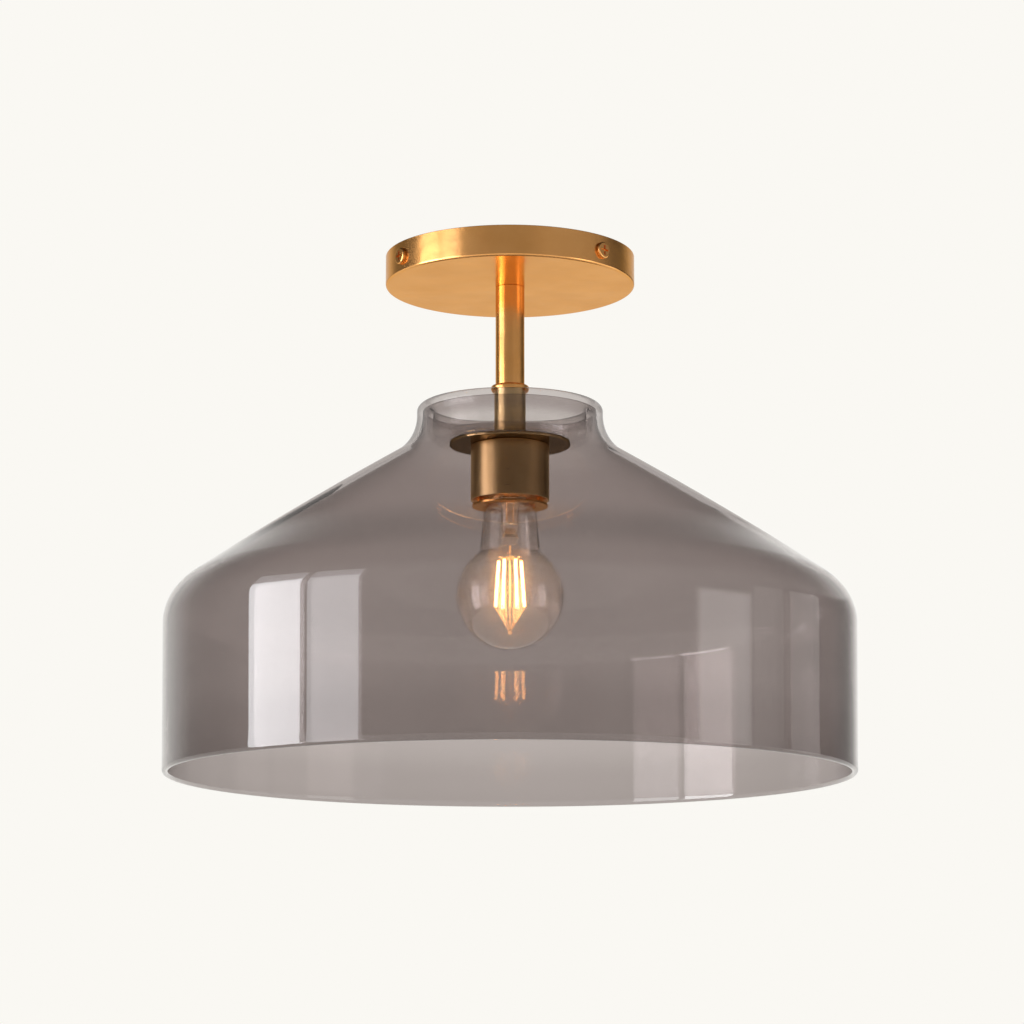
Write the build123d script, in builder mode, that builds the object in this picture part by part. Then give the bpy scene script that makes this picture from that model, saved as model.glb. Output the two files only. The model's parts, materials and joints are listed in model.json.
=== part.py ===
from build123d import *
import os
from math import acos, cos, degrees, radians, sin, sqrt, tan

# Semi flush ceiling light: a smoky blown glass shade on a brass stem under a round canopy.
# The ceiling is the plane z = 0, so every height below it is negative.  -Y is the front.
# All sizes are in millimetres.

# ------------------------------------------------------------------ driving dimensions

# canopy, the shallow cup that hides the ceiling box
canopy_radius = 75.0
canopy_height = 18.5
canopy_wall = 1.2
canopy_edge_radius = 1.4

# mounting plate, screwed to the ceiling box behind the canopy
plate_radius = 53.0
plate_thickness = 1.6
plate_bore_radius = 8.0
box_screw_spacing = 88.9
box_slot_length = 12.0
box_slot_radius = 2.2
tab_width = 14.0
tab_drop = 15.0
tab_bend_radius = 2.4
tab_clearance = 0.4
thread_clearance = 0.03

# cross-head screws in the side of the canopy, measured as angles from the front
side_screw_angles = (-58.6, 46.3, 173.9)
side_screw_drop = 9.3
side_screw_radius = 2.5
side_screw_length = 7.0
side_head_radius = 4.9
side_head_height = 2.1
side_head_crown = 0.9
side_head_land = 2.0
side_recess_width = 1.1
side_recess_depth = 1.2
side_screw_clearance = 0.15

# earth screw in the mounting plate
earth_angle = 115.0
earth_offset = 30.0
earth_screw_radius = 1.9
earth_head_radius = 4.0
earth_head_height = 2.4
earth_head_crown = 1.0
earth_head_land = 1.6
earth_recess_width = 1.0
earth_recess_depth = 1.2

# hollow threaded tube and its nuts
rod_radius = 5.0
rod_bore_radius = 3.6
rod_hole_clearance = 0.15
rod_above_nut = 1.6
rod_below_nut = 0.3
rod_end_chamfer = 0.55
nut_half_width = 7.0
nut_chamfer_angle = 30.0
top_nut_height = 5.0
cup_nut_height = 3.0
washer_radius = 8.5
washer_thickness = 1.2

# brass tubes and the collar between them
stem_radius = 8.7
stem_wall = 1.2
stem_length = 60.7
collar_radius = 11.4
collar_height = 4.1
collar_dome_radius = 1.4
spigot_length = 3.0
spigot_clearance = 0.05
sleeve_radius = 9.4
sleeve_wall = 1.4
sleeve_length = 25.7

# blown glass shade, one wall followed from the floor hole to the rim
glass_wall = 4.0
shade_rim_radius = 203.2
shade_height = 222.6
neck_radius = 55.7
recess_radius = 45.5
recess_depth = 18.6
recess_corner_radius = 5.0
fold_corner_radius = 2.3
neck_straight = 2.0
flare_radius = 31.0
flare_angle = 59.0
shoulder_angle = 55.4
shoulder_radius = 29.1
shoulder_overhang = 1.2
floor_hole_clearance = 0.6

# soft washers and the disc that carries the glass
upper_gasket_thickness = 1.0
lower_gasket_thickness = 0.6
gasket_inset = 1.0
disc_radius = 36.2
disc_thickness = 1.6
disc_edge_chamfer = 0.3

# lampholder cup and its end plate
cup_radius = 23.5
cup_wall = 1.6
cup_height = 33.2
cup_edge_radius = 0.6
end_plate_thickness = 1.2
end_plate_ledge = 0.7
end_plate_clearance = 0.03
end_plate_bore_step = 0.1

# lampholder
body_flange_radius = 20.9
body_flange_height = 9.0
body_barrel_radius = 17.0
body_web = 2.3
body_bore_clearance = 0.05
body_top_rounding = 1.0
shell_radius = 13.8
shell_wall = 0.4
shell_height = 19.0
shell_lip = 1.2
contact_length = 18.0
contact_width = 6.0
contact_thickness = 0.5
terminal_flat = 1.0
terminal_width = 8.0
terminal_height = 9.0
terminal_thickness = 0.6
terminal_corner_radius = 1.0
terminal_drop = 9.5
terminal_screw_radius = 1.5
terminal_screw_depth = 1.4
terminal_screw_clearance = 0.05
terminal_head_radius = 2.7
terminal_head_height = 1.5
terminal_head_crown = 0.6
terminal_head_land = 1.1
terminal_recess_width = 0.5
terminal_recess_depth = 0.5

# thin ring under the cup and the screws that hold it
ring_outer_radius = 22.6
ring_inner_radius = 15.4
ring_thickness = 1.2
ring_gap = 2.6
ring_screw_circle = 17.8
ring_screw_radius = 1.25
ring_screw_head_radius = 2.1
ring_screw_grip = 6.0
ring_screw_clearance = 0.05
ring_slot_width = 0.6
ring_slot_depth = 0.4
ring_spacer_radius = 1.9

# wiring of the fitting
lead_radius = 1.0
lead_offset = 1.4
lead_exit_radius = 1.6
lead_bend_radius = 3.0
lead_rise = 1.8
lead_tail = 33.0
lead_gap = 0.05
connector_start = 27.0
connector_length = 20.0
connector_mouth_radius = 5.2
connector_tip_radius = 3.0
connector_tip_rounding = 1.5
connector_bore_depth = 12.0
connector_bore_clearance = 0.2

# bulb: screw cap
cap_radius = 13.15
cap_wall = 0.35
cap_length = 23.8
cap_top_radius = 11.4
cap_shoulder = 1.6
button_radius = 4.6
button_height = 1.5
button_crown = 1.05
insulator_height = 3.4
insulator_top_radius = 6.4

# bulb: glass
globe_radius = 32.3
globe_drop = 57.0
bulb_wall = 0.9
bulb_seat_gap = 0.1
bulb_seat_depth = 2.2
throat_length = 8.2
throat_radius = 16.2
neck_end_radius = 18.1
kink_radius = 5.0
kink_pick_tolerance = 1.0

# bulb: inside
mount_radius = 5.3
mount_wall = 0.9
mount_length = 17.7
mount_flare_radius = 11.2
mount_flare_length = 7.0
press_width = 9.4
press_thickness = 3.0
press_corner_radius = 1.0
press_taper = 5.3
press_length = 12.0
post_radius = 0.6
feed_radius = 0.35
feed_spacing = 4.0
filament_count = 6
filament_radius = 0.95
filament_length = 28.0
filament_drop = 35.5
filament_top_circle = 6.6
filament_lean = 4.0
arm_radius = 0.3
arm_stub = 0.8
arm_rise = 1.2
post_end_drop = 78.8
post_bead_radius = 1.3

# ------------------------------------------------------------------ heights, from the ceiling down

canopy_under = -canopy_height
stem_bottom = canopy_under - stem_length
collar_bottom = stem_bottom - collar_height
sleeve_bottom = collar_bottom - sleeve_length
floor_top = sleeve_bottom - upper_gasket_thickness
floor_bottom = floor_top - glass_wall
disc_top = floor_bottom - lower_gasket_thickness
disc_bottom = disc_top - disc_thickness
cup_bottom = disc_bottom - cup_height
glass_top = floor_top + recess_depth
shade_rim = glass_top - shade_height

rod_hole_radius = rod_radius + rod_hole_clearance
canopy_floor = canopy_under + canopy_wall
top_nut_bottom = canopy_floor + washer_thickness
rod_top = top_nut_bottom + top_nut_height + rod_above_nut
cup_nut_top = disc_bottom - cup_wall
cup_nut_bottom = cup_nut_top - cup_nut_height
rod_bottom = cup_nut_bottom - rod_below_nut

end_plate_top = cup_bottom + end_plate_thickness
body_top = rod_bottom - 2 * (lead_radius + lead_gap)
body_roof = body_top - body_web
contact_face = body_roof - contact_thickness
ring_top = cup_bottom - ring_gap
ring_bottom = ring_top - ring_thickness

cap_rim = contact_face - cap_length
globe_centre = cap_rim - globe_drop


def at_angle(degrees_from_front, radius, height):
    """Point at an angle from the front, seen from above, turning towards +X."""
    angle = radians(degrees_from_front)
    return Vector(radius * sin(angle), -radius * cos(angle), height)


def outward(degrees_from_front):
    """Unit vector that points away from the axis at that angle."""
    return at_angle(degrees_from_front, 1, 0)


def sideways(degrees_from_front):
    """Unit vector along the circle at that angle."""
    return at_angle(degrees_from_front + 90, 1, 0)


# ------------------------------------------------------------------ canopy

with BuildPart() as canopy:
    with BuildSketch(Plane.XY.offset(canopy_under)):
        Circle(canopy_radius)
    extrude(amount=canopy_height)
    fillet(canopy.edges().sort_by(Axis.Z)[0], canopy_edge_radius)
    offset(amount=-canopy_wall, openings=canopy.faces().sort_by(Axis.Z)[-1])
    with BuildSketch(Plane.XY.offset(canopy_under)):
        Circle(rod_hole_radius)
    extrude(amount=canopy_wall, mode=Mode.SUBTRACT)
    for angle in side_screw_angles:
        hole_plane = Plane(
            origin=at_angle(angle, canopy_radius, -side_screw_drop),
            x_dir=sideways(angle),
            z_dir=outward(angle),
        )
        with BuildSketch(hole_plane):
            Circle(side_screw_radius + side_screw_clearance)
        extrude(amount=-2 * canopy_wall, mode=Mode.SUBTRACT)

# ------------------------------------------------------------------ mounting plate

tab_face = canopy_radius - canopy_wall - tab_clearance
tab_middle = tab_face - plate_thickness / 2

with BuildPart() as mounting_plate:
    with BuildSketch():
        Circle(plate_radius)
        Circle(plate_bore_radius, mode=Mode.SUBTRACT)
        with Locations((-box_screw_spacing / 2, 0), (box_screw_spacing / 2, 0)):
            SlotOverall(box_slot_length, 2 * box_slot_radius, mode=Mode.SUBTRACT)
    extrude(amount=-plate_thickness)
    for angle in side_screw_angles:
        arm_plane = Plane(origin=(0, 0, 0), x_dir=outward(angle), z_dir=-sideways(angle))
        with BuildSketch(arm_plane):
            with BuildLine():
                FilletPolyline(
                    (plate_radius - tab_width / 2, -plate_thickness / 2),
                    (tab_middle, -plate_thickness / 2),
                    (tab_middle, -tab_drop),
                    radius=tab_bend_radius,
                )
            trace(line_width=plate_thickness)
        extrude(amount=tab_width / 2, both=True)
        tapping_plane = Plane(
            origin=at_angle(angle, tab_face, -side_screw_drop),
            x_dir=sideways(angle),
            z_dir=outward(angle),
        )
        with BuildSketch(tapping_plane):
            Circle(side_screw_radius + thread_clearance)
        extrude(amount=-2 * plate_thickness, mode=Mode.SUBTRACT)
    earth_point = at_angle(earth_angle, earth_offset, 0)
    with BuildSketch():
        with Locations((earth_point.X, earth_point.Y)):
            Circle(earth_screw_radius + thread_clearance)
    extrude(amount=-plate_thickness, mode=Mode.SUBTRACT)


# ------------------------------------------------------------------ screws


def pan_head_screw(shank_radius, length, head_radius, head_height, crown, land, width, depth):
    """Screw on its own axis: head above the plane, shank below, cross recess in the head."""
    recess_span = 2 * (head_radius - land)
    with BuildPart() as screw:
        Cylinder(shank_radius, length, align=(Align.CENTER, Align.CENTER, Align.MAX))
        Cylinder(head_radius, head_height, align=(Align.CENTER, Align.CENTER, Align.MIN))
        fillet(screw.edges().sort_by(Axis.Z)[-1], crown)
        with BuildSketch(Plane.XY.offset(head_height)):
            Rectangle(recess_span, width)
            Rectangle(width, recess_span)
        extrude(amount=-depth, mode=Mode.SUBTRACT)
    return screw.part


side_screw = pan_head_screw(
    side_screw_radius,
    side_screw_length,
    side_head_radius,
    side_head_height,
    side_head_crown,
    side_head_land,
    side_recess_width,
    side_recess_depth,
)

with BuildPart() as canopy_screws:
    for angle in side_screw_angles:
        head_plane = Plane(
            origin=at_angle(angle, canopy_radius, -side_screw_drop),
            x_dir=sideways(angle),
            z_dir=outward(angle),
        )
        add(head_plane.location * side_screw)

with BuildPart() as earth_screw:
    earth_plane = Plane(
        origin=(earth_point.X, earth_point.Y, -plate_thickness),
        z_dir=(0, 0, -1),
    )
    add(
        earth_plane.location
        * pan_head_screw(
            earth_screw_radius,
            plate_thickness,
            earth_head_radius,
            earth_head_height,
            earth_head_crown,
            earth_head_land,
            earth_recess_width,
            earth_recess_depth,
        )
    )

# ------------------------------------------------------------------ threaded tube, nuts and washer

with BuildPart() as threaded_tube:
    with BuildSketch(Plane.XY.offset(rod_bottom)):
        Circle(rod_radius)
        Circle(rod_bore_radius, mode=Mode.SUBTRACT)
    extrude(amount=rod_top - rod_bottom)
    rim_edges = threaded_tube.edges().filter_by(GeomType.CIRCLE).sort_by(SortBy.RADIUS)[-2:]
    chamfer(rim_edges, rod_end_chamfer)

with BuildPart() as lock_washer:
    with BuildSketch(Plane.XY.offset(canopy_floor)):
        Circle(washer_radius)
        Circle(rod_hole_radius, mode=Mode.SUBTRACT)
    extrude(amount=washer_thickness)


def hex_nut(bottom, height):
    """Hexagonal nut round the threaded tube, with its corners rounded off at both ends."""
    with BuildPart() as nut:
        with BuildSketch(Plane.XY.offset(bottom)):
            RegularPolygon(nut_half_width, 6, major_radius=False)
            Circle(rod_radius + thread_clearance, mode=Mode.SUBTRACT)
        extrude(amount=height)
        corner_radius = nut_half_width / cos(radians(30))
        corner_drop = (corner_radius - nut_half_width) * tan(radians(nut_chamfer_angle))
        with BuildSketch(Plane.XZ):
            with BuildLine():
                Polyline(
                    (0, bottom),
                    (nut_half_width, bottom),
                    (corner_radius, bottom + corner_drop),
                    (corner_radius, bottom + height - corner_drop),
                    (nut_half_width, bottom + height),
                    (0, bottom + height),
                    close=True,
                )
            make_face()
        revolve(axis=Axis.Z, mode=Mode.INTERSECT)
    return nut


top_nut = hex_nut(top_nut_bottom, top_nut_height)
cup_nut = hex_nut(cup_nut_bottom, cup_nut_height)

# ------------------------------------------------------------------ stem, collar and sleeve

with BuildPart() as stem_tube:
    with BuildSketch(Plane.XY.offset(stem_bottom)):
        Circle(stem_radius)
        Circle(stem_radius - stem_wall, mode=Mode.SUBTRACT)
    extrude(amount=stem_length)

with BuildPart() as stem_collar:
    with BuildSketch(Plane.XY.offset(collar_bottom)):
        Circle(collar_radius)
    extrude(amount=collar_height)
    fillet(stem_collar.edges(), collar_dome_radius)
    with BuildSketch(Plane.XY.offset(stem_bottom)):
        Circle(stem_radius - stem_wall - spigot_clearance)
    extrude(amount=spigot_length)
    with BuildSketch(Plane.XY.offset(collar_bottom)):
        Circle(sleeve_radius - sleeve_wall - spigot_clearance)
    extrude(amount=-spigot_length)
    with BuildSketch(Plane.XY.offset(collar_bottom - spigot_length)):
        Circle(rod_hole_radius)
    extrude(amount=collar_height + 2 * spigot_length, mode=Mode.SUBTRACT)

with BuildPart() as sleeve_tube:
    with BuildSketch(Plane.XY.offset(sleeve_bottom)):
        Circle(sleeve_radius)
        Circle(sleeve_radius - sleeve_wall, mode=Mode.SUBTRACT)
    extrude(amount=sleeve_length)

# ------------------------------------------------------------------ glass shade

# One line runs along the middle of the glass: over the floor, up the recess, over the fold,
# down the neck, out along the slope, round the shoulder and down to the rim.
half_wall = glass_wall / 2
floor_hole_radius = rod_radius + floor_hole_clearance
floor_middle = floor_top - half_wall
recess_middle = recess_radius + half_wall
neck_middle = neck_radius - half_wall
rim_middle = shade_rim_radius - half_wall
fold_flat = neck_middle - recess_middle - 2 * fold_corner_radius
slope_start = neck_middle + flare_radius * (1 - cos(radians(flare_angle)))
side_middle = rim_middle + shoulder_overhang
slope_end = side_middle - shoulder_radius * (1 - cos(radians(shoulder_angle)))
slope_radius = (slope_end - slope_start) / (
    cos(radians(shoulder_angle)) - cos(radians(flare_angle))
)

with BuildPart() as glass_shade:
    with BuildSketch(Plane.XZ):
        with BuildLine():
            floor_line = Line(
                (floor_hole_radius + half_wall, floor_middle),
                (recess_middle - recess_corner_radius, floor_middle),
            )
            recess_corner = JernArc(floor_line @ 1, floor_line % 1, recess_corner_radius, 90)
            recess_line = Line(
                recess_corner @ 1,
                (recess_middle, glass_top - half_wall - fold_corner_radius),
            )
            fold_in = JernArc(recess_line @ 1, recess_line % 1, fold_corner_radius, -90)
            fold_line = Line(fold_in @ 1, (fold_in @ 1) + Vector(fold_flat, 0))
            fold_out = JernArc(fold_line @ 1, fold_line % 1, fold_corner_radius, -90)
            neck_line = Line(fold_out @ 1, (fold_out @ 1) - Vector(0, neck_straight))
            flare = JernArc(neck_line @ 1, neck_line % 1, flare_radius, flare_angle)
            slope = JernArc(flare @ 1, flare % 1, slope_radius, shoulder_angle - flare_angle)
            shoulder = JernArc(slope @ 1, slope % 1, shoulder_radius, -shoulder_angle)
            side_line = Line(shoulder @ 1, (rim_middle, shade_rim + half_wall))
            offset(amount=half_wall)
        make_face()
    revolve(axis=Axis.Z)

print("slope radius", round(slope_radius), "widest radius", round((shoulder @ 1).X + half_wall, 1))

# ------------------------------------------------------------------ gaskets and disc

with BuildPart() as upper_gasket:
    with BuildSketch(Plane.XY.offset(floor_top)):
        Circle(sleeve_radius)
        Circle(rod_hole_radius, mode=Mode.SUBTRACT)
    extrude(amount=upper_gasket_thickness)

with BuildPart() as lower_gasket:
    with BuildSketch(Plane.XY.offset(disc_top)):
        Circle(disc_radius - gasket_inset)
        Circle(rod_hole_radius, mode=Mode.SUBTRACT)
    extrude(amount=lower_gasket_thickness)

with BuildPart() as shade_disc:
    with BuildSketch(Plane.XY.offset(disc_bottom)):
        Circle(disc_radius)
        Circle(rod_hole_radius, mode=Mode.SUBTRACT)
    extrude(amount=disc_thickness)
    disc_rims = shade_disc.edges().filter_by(GeomType.CIRCLE).sort_by(SortBy.RADIUS)[-2:]
    chamfer(disc_rims, disc_edge_chamfer)

# ------------------------------------------------------------------ lampholder cup and end plate

cup_inner_radius = cup_radius - cup_wall
end_plate_seat_radius = cup_inner_radius + end_plate_ledge

with BuildPart() as lampholder_cup:
    with BuildSketch(Plane.XY.offset(cup_bottom)):
        Circle(cup_radius)
    extrude(amount=cup_height)
    fillet(lampholder_cup.edges().sort_by(Axis.Z)[-1], cup_edge_radius)
    with BuildSketch(Plane.XY.offset(cup_bottom)):
        Circle(cup_inner_radius)
    extrude(amount=cup_height - cup_wall, mode=Mode.SUBTRACT)
    with BuildSketch(Plane.XY.offset(cup_bottom)):
        Circle(end_plate_seat_radius)
    extrude(amount=end_plate_thickness, mode=Mode.SUBTRACT)
    with BuildSketch(Plane.XY.offset(disc_bottom)):
        Circle(rod_hole_radius)
    extrude(amount=-cup_wall, mode=Mode.SUBTRACT)

end_plate_bore_radius = shell_radius - shell_wall + end_plate_bore_step

with BuildPart() as end_plate:
    with BuildSketch(Plane.XY.offset(cup_bottom)):
        Circle(end_plate_seat_radius - end_plate_clearance)
        Circle(end_plate_bore_radius, mode=Mode.SUBTRACT)
        with PolarLocations(ring_screw_circle, 2):
            Circle(ring_screw_radius + ring_screw_clearance, mode=Mode.SUBTRACT)
    extrude(amount=end_plate_thickness)

# ------------------------------------------------------------------ ring, spacers and ring screws

with BuildPart() as retaining_ring:
    with BuildSketch(Plane.XY.offset(ring_bottom)):
        Circle(ring_outer_radius)
        Circle(ring_inner_radius, mode=Mode.SUBTRACT)
    extrude(amount=ring_thickness)
    countersink_plane = Plane(origin=(0, 0, ring_bottom), z_dir=(0, 0, -1))
    with Locations(countersink_plane):
        with PolarLocations(ring_screw_circle, 2):
            CounterSinkHole(
                ring_screw_radius + ring_screw_clearance,
                ring_screw_head_radius + ring_screw_clearance,
                depth=ring_thickness,
            )

with BuildPart() as ring_spacers:
    with BuildSketch(Plane.XY.offset(ring_top)):
        with PolarLocations(ring_screw_circle, 2):
            Circle(ring_spacer_radius)
            Circle(ring_screw_radius + ring_screw_clearance, mode=Mode.SUBTRACT)
    extrude(amount=ring_gap)

ring_screw_length = ring_thickness + ring_gap + end_plate_thickness + ring_screw_grip
ring_head_height = ring_screw_head_radius - ring_screw_radius

with BuildPart() as ring_screws:
    with BuildSketch(Plane.XZ):
        with BuildLine():
            Polyline(
                (ring_screw_circle, ring_bottom),
                (ring_screw_circle + ring_screw_head_radius, ring_bottom),
                (ring_screw_circle + ring_screw_radius, ring_bottom + ring_head_height),
                (ring_screw_circle + ring_screw_radius, ring_bottom + ring_screw_length),
                (ring_screw_circle, ring_bottom + ring_screw_length),
                close=True,
            )
        make_face()
    revolve(axis=Axis((ring_screw_circle, 0, 0), (0, 0, 1)))
    with BuildSketch(Plane.XY.offset(ring_bottom)):
        with Locations((ring_screw_circle, 0)):
            Rectangle(2 * ring_screw_head_radius, ring_slot_width)
    extrude(amount=ring_slot_depth, mode=Mode.SUBTRACT)
    mirror(about=Plane.YZ)

# ------------------------------------------------------------------ lampholder

flat_face = body_barrel_radius - terminal_flat
terminal_middle = body_top - terminal_drop
terminal_hole_radius = terminal_screw_radius + thread_clearance

with BuildPart() as lampholder_body:
    with BuildSketch(Plane.XY.offset(end_plate_top)):
        Circle(body_flange_radius)
    extrude(amount=body_flange_height)
    with BuildSketch(Plane.XY.offset(end_plate_top)):
        Circle(body_barrel_radius)
    extrude(amount=body_top - end_plate_top)
    fillet(lampholder_body.edges().sort_by(Axis.Z)[-1], body_top_rounding)
    with BuildSketch(Plane.XY.offset(end_plate_top)):
        Circle(shell_radius + body_bore_clearance)
    extrude(amount=body_roof - end_plate_top, mode=Mode.SUBTRACT)
    with BuildSketch(Plane.XY.offset(end_plate_top + body_flange_height)):
        with Locations((flat_face + terminal_flat, 0), (-flat_face - terminal_flat, 0)):
            Rectangle(2 * terminal_flat, 2 * body_barrel_radius)
    extrude(amount=body_top - end_plate_top - body_flange_height, mode=Mode.SUBTRACT)
    with BuildSketch(Plane.XY.offset(end_plate_top)):
        with PolarLocations(ring_screw_circle, 2):
            Circle(ring_screw_radius + ring_screw_clearance)
    extrude(amount=ring_screw_grip + ring_screw_clearance, mode=Mode.SUBTRACT)
    for side in (1, -1):
        with BuildSketch(Plane(origin=(side * flat_face, 0, terminal_middle), z_dir=(side, 0, 0))):
            Circle(terminal_hole_radius)
        extrude(amount=-terminal_screw_depth - terminal_screw_clearance, mode=Mode.SUBTRACT)

with BuildPart() as screw_shell:
    with BuildSketch(Plane.XY.offset(end_plate_top)):
        Circle(shell_radius)
        Circle(shell_radius - shell_wall, mode=Mode.SUBTRACT)
    extrude(amount=shell_height)
    with BuildSketch(Plane.XY.offset(end_plate_top + shell_height)):
        Circle(shell_radius)
        Circle(shell_radius - shell_wall - shell_lip, mode=Mode.SUBTRACT)
    extrude(amount=-shell_wall)

with BuildPart() as centre_contact:
    with BuildSketch(Plane.XY.offset(contact_face)):
        SlotOverall(contact_length, contact_width)
    extrude(amount=contact_thickness)

with BuildPart() as terminal_plates:
    for side in (1, -1):
        with BuildSketch(Plane(origin=(side * flat_face, 0, terminal_middle), z_dir=(side, 0, 0))):
            RectangleRounded(terminal_width, terminal_height, terminal_corner_radius)
            Circle(terminal_hole_radius, mode=Mode.SUBTRACT)
        extrude(amount=terminal_thickness)

terminal_screw = pan_head_screw(
    terminal_screw_radius,
    terminal_thickness + terminal_screw_depth,
    terminal_head_radius,
    terminal_head_height,
    terminal_head_crown,
    terminal_head_land,
    terminal_recess_width,
    terminal_recess_depth,
)
terminal_face = flat_face + terminal_thickness

with BuildPart() as terminal_screws:
    for side in (1, -1):
        screw_plane = Plane(origin=(side * terminal_face, 0, terminal_middle), z_dir=(side, 0, 0))
        add(screw_plane.location * terminal_screw)

# ------------------------------------------------------------------ wiring of the fitting

# Each lead comes out of a connector in the canopy, drops through the threaded tube and turns
# out over the lampholder to its terminal.
connector_axis = canopy_floor + connector_mouth_radius
lead_top = rod_top + lead_rise
lead_turn = rod_bottom - lead_radius - lead_gap
lead_side = terminal_face + lead_radius + lead_gap
lead_end = terminal_middle + terminal_head_radius + lead_gap


def lead_path(side):
    """Middle line of one lead, on the +X or the -X side."""
    return FilletPolyline(
        (side * lead_tail, 0, connector_axis),
        (side * (connector_start - lead_bend_radius), 0, connector_axis),
        (side * (washer_radius + 2 * lead_bend_radius), 0, lead_top),
        (side * lead_offset, 0, lead_top),
        (side * lead_offset, 0, lead_turn),
        (side * lead_side, 0, lead_turn),
        (side * lead_side, 0, lead_end),
        radius=(
            lead_bend_radius,
            lead_bend_radius,
            lead_exit_radius,
            lead_exit_radius,
            lead_exit_radius,
        ),
    )


def lead(side):
    """Insulated wire along the path of that side."""
    with BuildPart() as wire:
        with BuildLine() as route:
            lead_path(side)
        with BuildSketch(Plane(origin=route.wires()[0] @ 0, z_dir=route.wires()[0] % 0)):
            Circle(lead_radius)
        sweep(path=route.wires()[0])
    return wire


live_lead = lead(1)
neutral_lead = lead(-1)

with BuildPart() as wire_connectors:
    with BuildSketch(Plane.XZ):
        with BuildLine():
            Polyline(
                (connector_start, connector_axis),
                (connector_start, connector_axis + connector_mouth_radius),
                (connector_start + connector_length, connector_axis + connector_tip_radius),
                (connector_start + connector_length, connector_axis),
                close=True,
            )
        make_face()
    revolve(axis=Axis((0, 0, connector_axis), (1, 0, 0)))
    fillet(wire_connectors.edges().sort_by(Axis.X)[-1], connector_tip_rounding)
    with BuildSketch(Plane(origin=(connector_start, 0, connector_axis), z_dir=(1, 0, 0))):
        Circle(lead_radius + connector_bore_clearance)
    extrude(amount=connector_bore_depth, mode=Mode.SUBTRACT)
    mirror(about=Plane.YZ)

# ------------------------------------------------------------------ bulb: screw cap

cap_top = contact_face - button_height - insulator_height

with BuildPart() as bulb_contact:
    with BuildSketch(Plane.XY.offset(contact_face - button_height)):
        Circle(button_radius)
    extrude(amount=button_height)
    fillet(bulb_contact.edges().sort_by(Axis.Z)[-1], button_crown)

with BuildPart() as bulb_insulator:
    with BuildSketch(Plane.XY.offset(contact_face - button_height)):
        Circle(insulator_top_radius)
    with BuildSketch(Plane.XY.offset(cap_top)):
        Circle(cap_top_radius)
    loft()

with BuildPart() as bulb_cap:
    with BuildSketch(Plane.XZ):
        with BuildLine():
            Polyline(
                (insulator_top_radius, cap_top),
                (cap_top_radius, cap_top),
                (cap_radius, cap_top - cap_shoulder),
                (cap_radius, cap_rim),
                (cap_radius - cap_wall, cap_rim),
                (cap_radius - cap_wall, cap_top - cap_shoulder),
                (cap_top_radius - cap_wall, cap_top - cap_wall),
                (insulator_top_radius, cap_top - cap_wall),
                close=True,
            )
        make_face()
    revolve(axis=Axis.Z)

# ------------------------------------------------------------------ bulb: glass

glass_start = cap_rim + bulb_seat_depth
seat_radius = cap_radius - cap_wall - bulb_seat_gap
throat_end = cap_rim - throat_length


def globe_junction(globe, neck):
    """Height at which the neck's radius meets the globe."""
    return globe_centre + sqrt(globe**2 - neck**2)


def envelope(inset):
    """Side of the glass from its seat in the cap to its lowest point, set in by that much."""
    globe = globe_radius - inset
    neck = neck_end_radius - inset
    start = Line((seat_radius - inset, glass_start), (seat_radius - inset, cap_rim))
    throat = Spline(
        start @ 1,
        (throat_radius - inset, throat_end),
        tangents=((0, -1), (neck_end_radius - throat_radius, globe_centre - throat_end)),
    )
    side = Line(throat @ 1, (neck, globe_junction(globe, neck)))
    rise = degrees(acos(neck / globe))
    bulge = CenterArc((0, globe_centre), globe, rise, -(rise + 90))
    return start, bulge


with BuildPart() as bulb_glass:
    with BuildSketch(Plane.XZ) as envelope_sketch:
        with BuildLine():
            outer_start, outer_bulge = envelope(0)
            inner_start, inner_bulge = envelope(bulb_wall)
            Line(outer_start @ 0, inner_start @ 0)
            Line(outer_bulge @ 1, inner_bulge @ 1)
        make_face()
        fillet(
            envelope_sketch.vertices().filter_by(
                lambda corner: abs(corner.Y - globe_junction(globe_radius, neck_end_radius))
                < kink_pick_tolerance
            ),
            kink_radius,
        )
    revolve(axis=Axis.Z)

# The mount is a flared tube that ends in a flattened press.
mount_top = glass_start
mount_end = mount_top - mount_length
press_end = mount_end - press_length

with BuildPart() as bulb_stem:
    with BuildSketch(Plane.XZ):
        with BuildLine():
            flare_outer = Line(
                (mount_flare_radius, mount_top),
                (mount_radius, mount_top - mount_flare_length),
            )
            tube_outer = Line(flare_outer @ 1, (mount_radius, mount_end))
            Polyline(
                tube_outer @ 1,
                (0, mount_end),
                (0, mount_end + mount_wall),
                (mount_radius - mount_wall, mount_end + mount_wall),
                (mount_radius - mount_wall, mount_top - mount_flare_length),
                (mount_flare_radius - mount_wall, mount_top),
                flare_outer @ 0,
            )
        make_face()
    revolve(axis=Axis.Z)
    with BuildSketch(Plane.XY.offset(mount_end)):
        Circle(mount_radius)
    with BuildSketch(Plane.XY.offset(mount_end - press_taper)):
        RectangleRounded(press_width, press_thickness, press_corner_radius)
    loft()
    with BuildSketch(Plane.XY.offset(mount_end - press_taper)):
        RectangleRounded(press_width, press_thickness, press_corner_radius)
    extrude(amount=press_taper - press_length)

# ------------------------------------------------------------------ bulb: filaments and their frame

filament_top = cap_rim - filament_drop
lean = radians(filament_lean)
filament_end_circle = filament_top_circle + filament_length * sin(lean)
filament_bottom = filament_top - filament_length * cos(lean)
post_end = cap_rim - post_end_drop


def filament_plane(index):
    """Plane at the top of one filament, facing down its length."""
    angle = (index + 0.5) * 360 / filament_count
    slant = outward(angle) * sin(lean) - Vector(0, 0, cos(lean))
    return Plane(
        origin=at_angle(angle, filament_top_circle, filament_top),
        x_dir=sideways(angle),
        z_dir=slant,
    )


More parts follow.
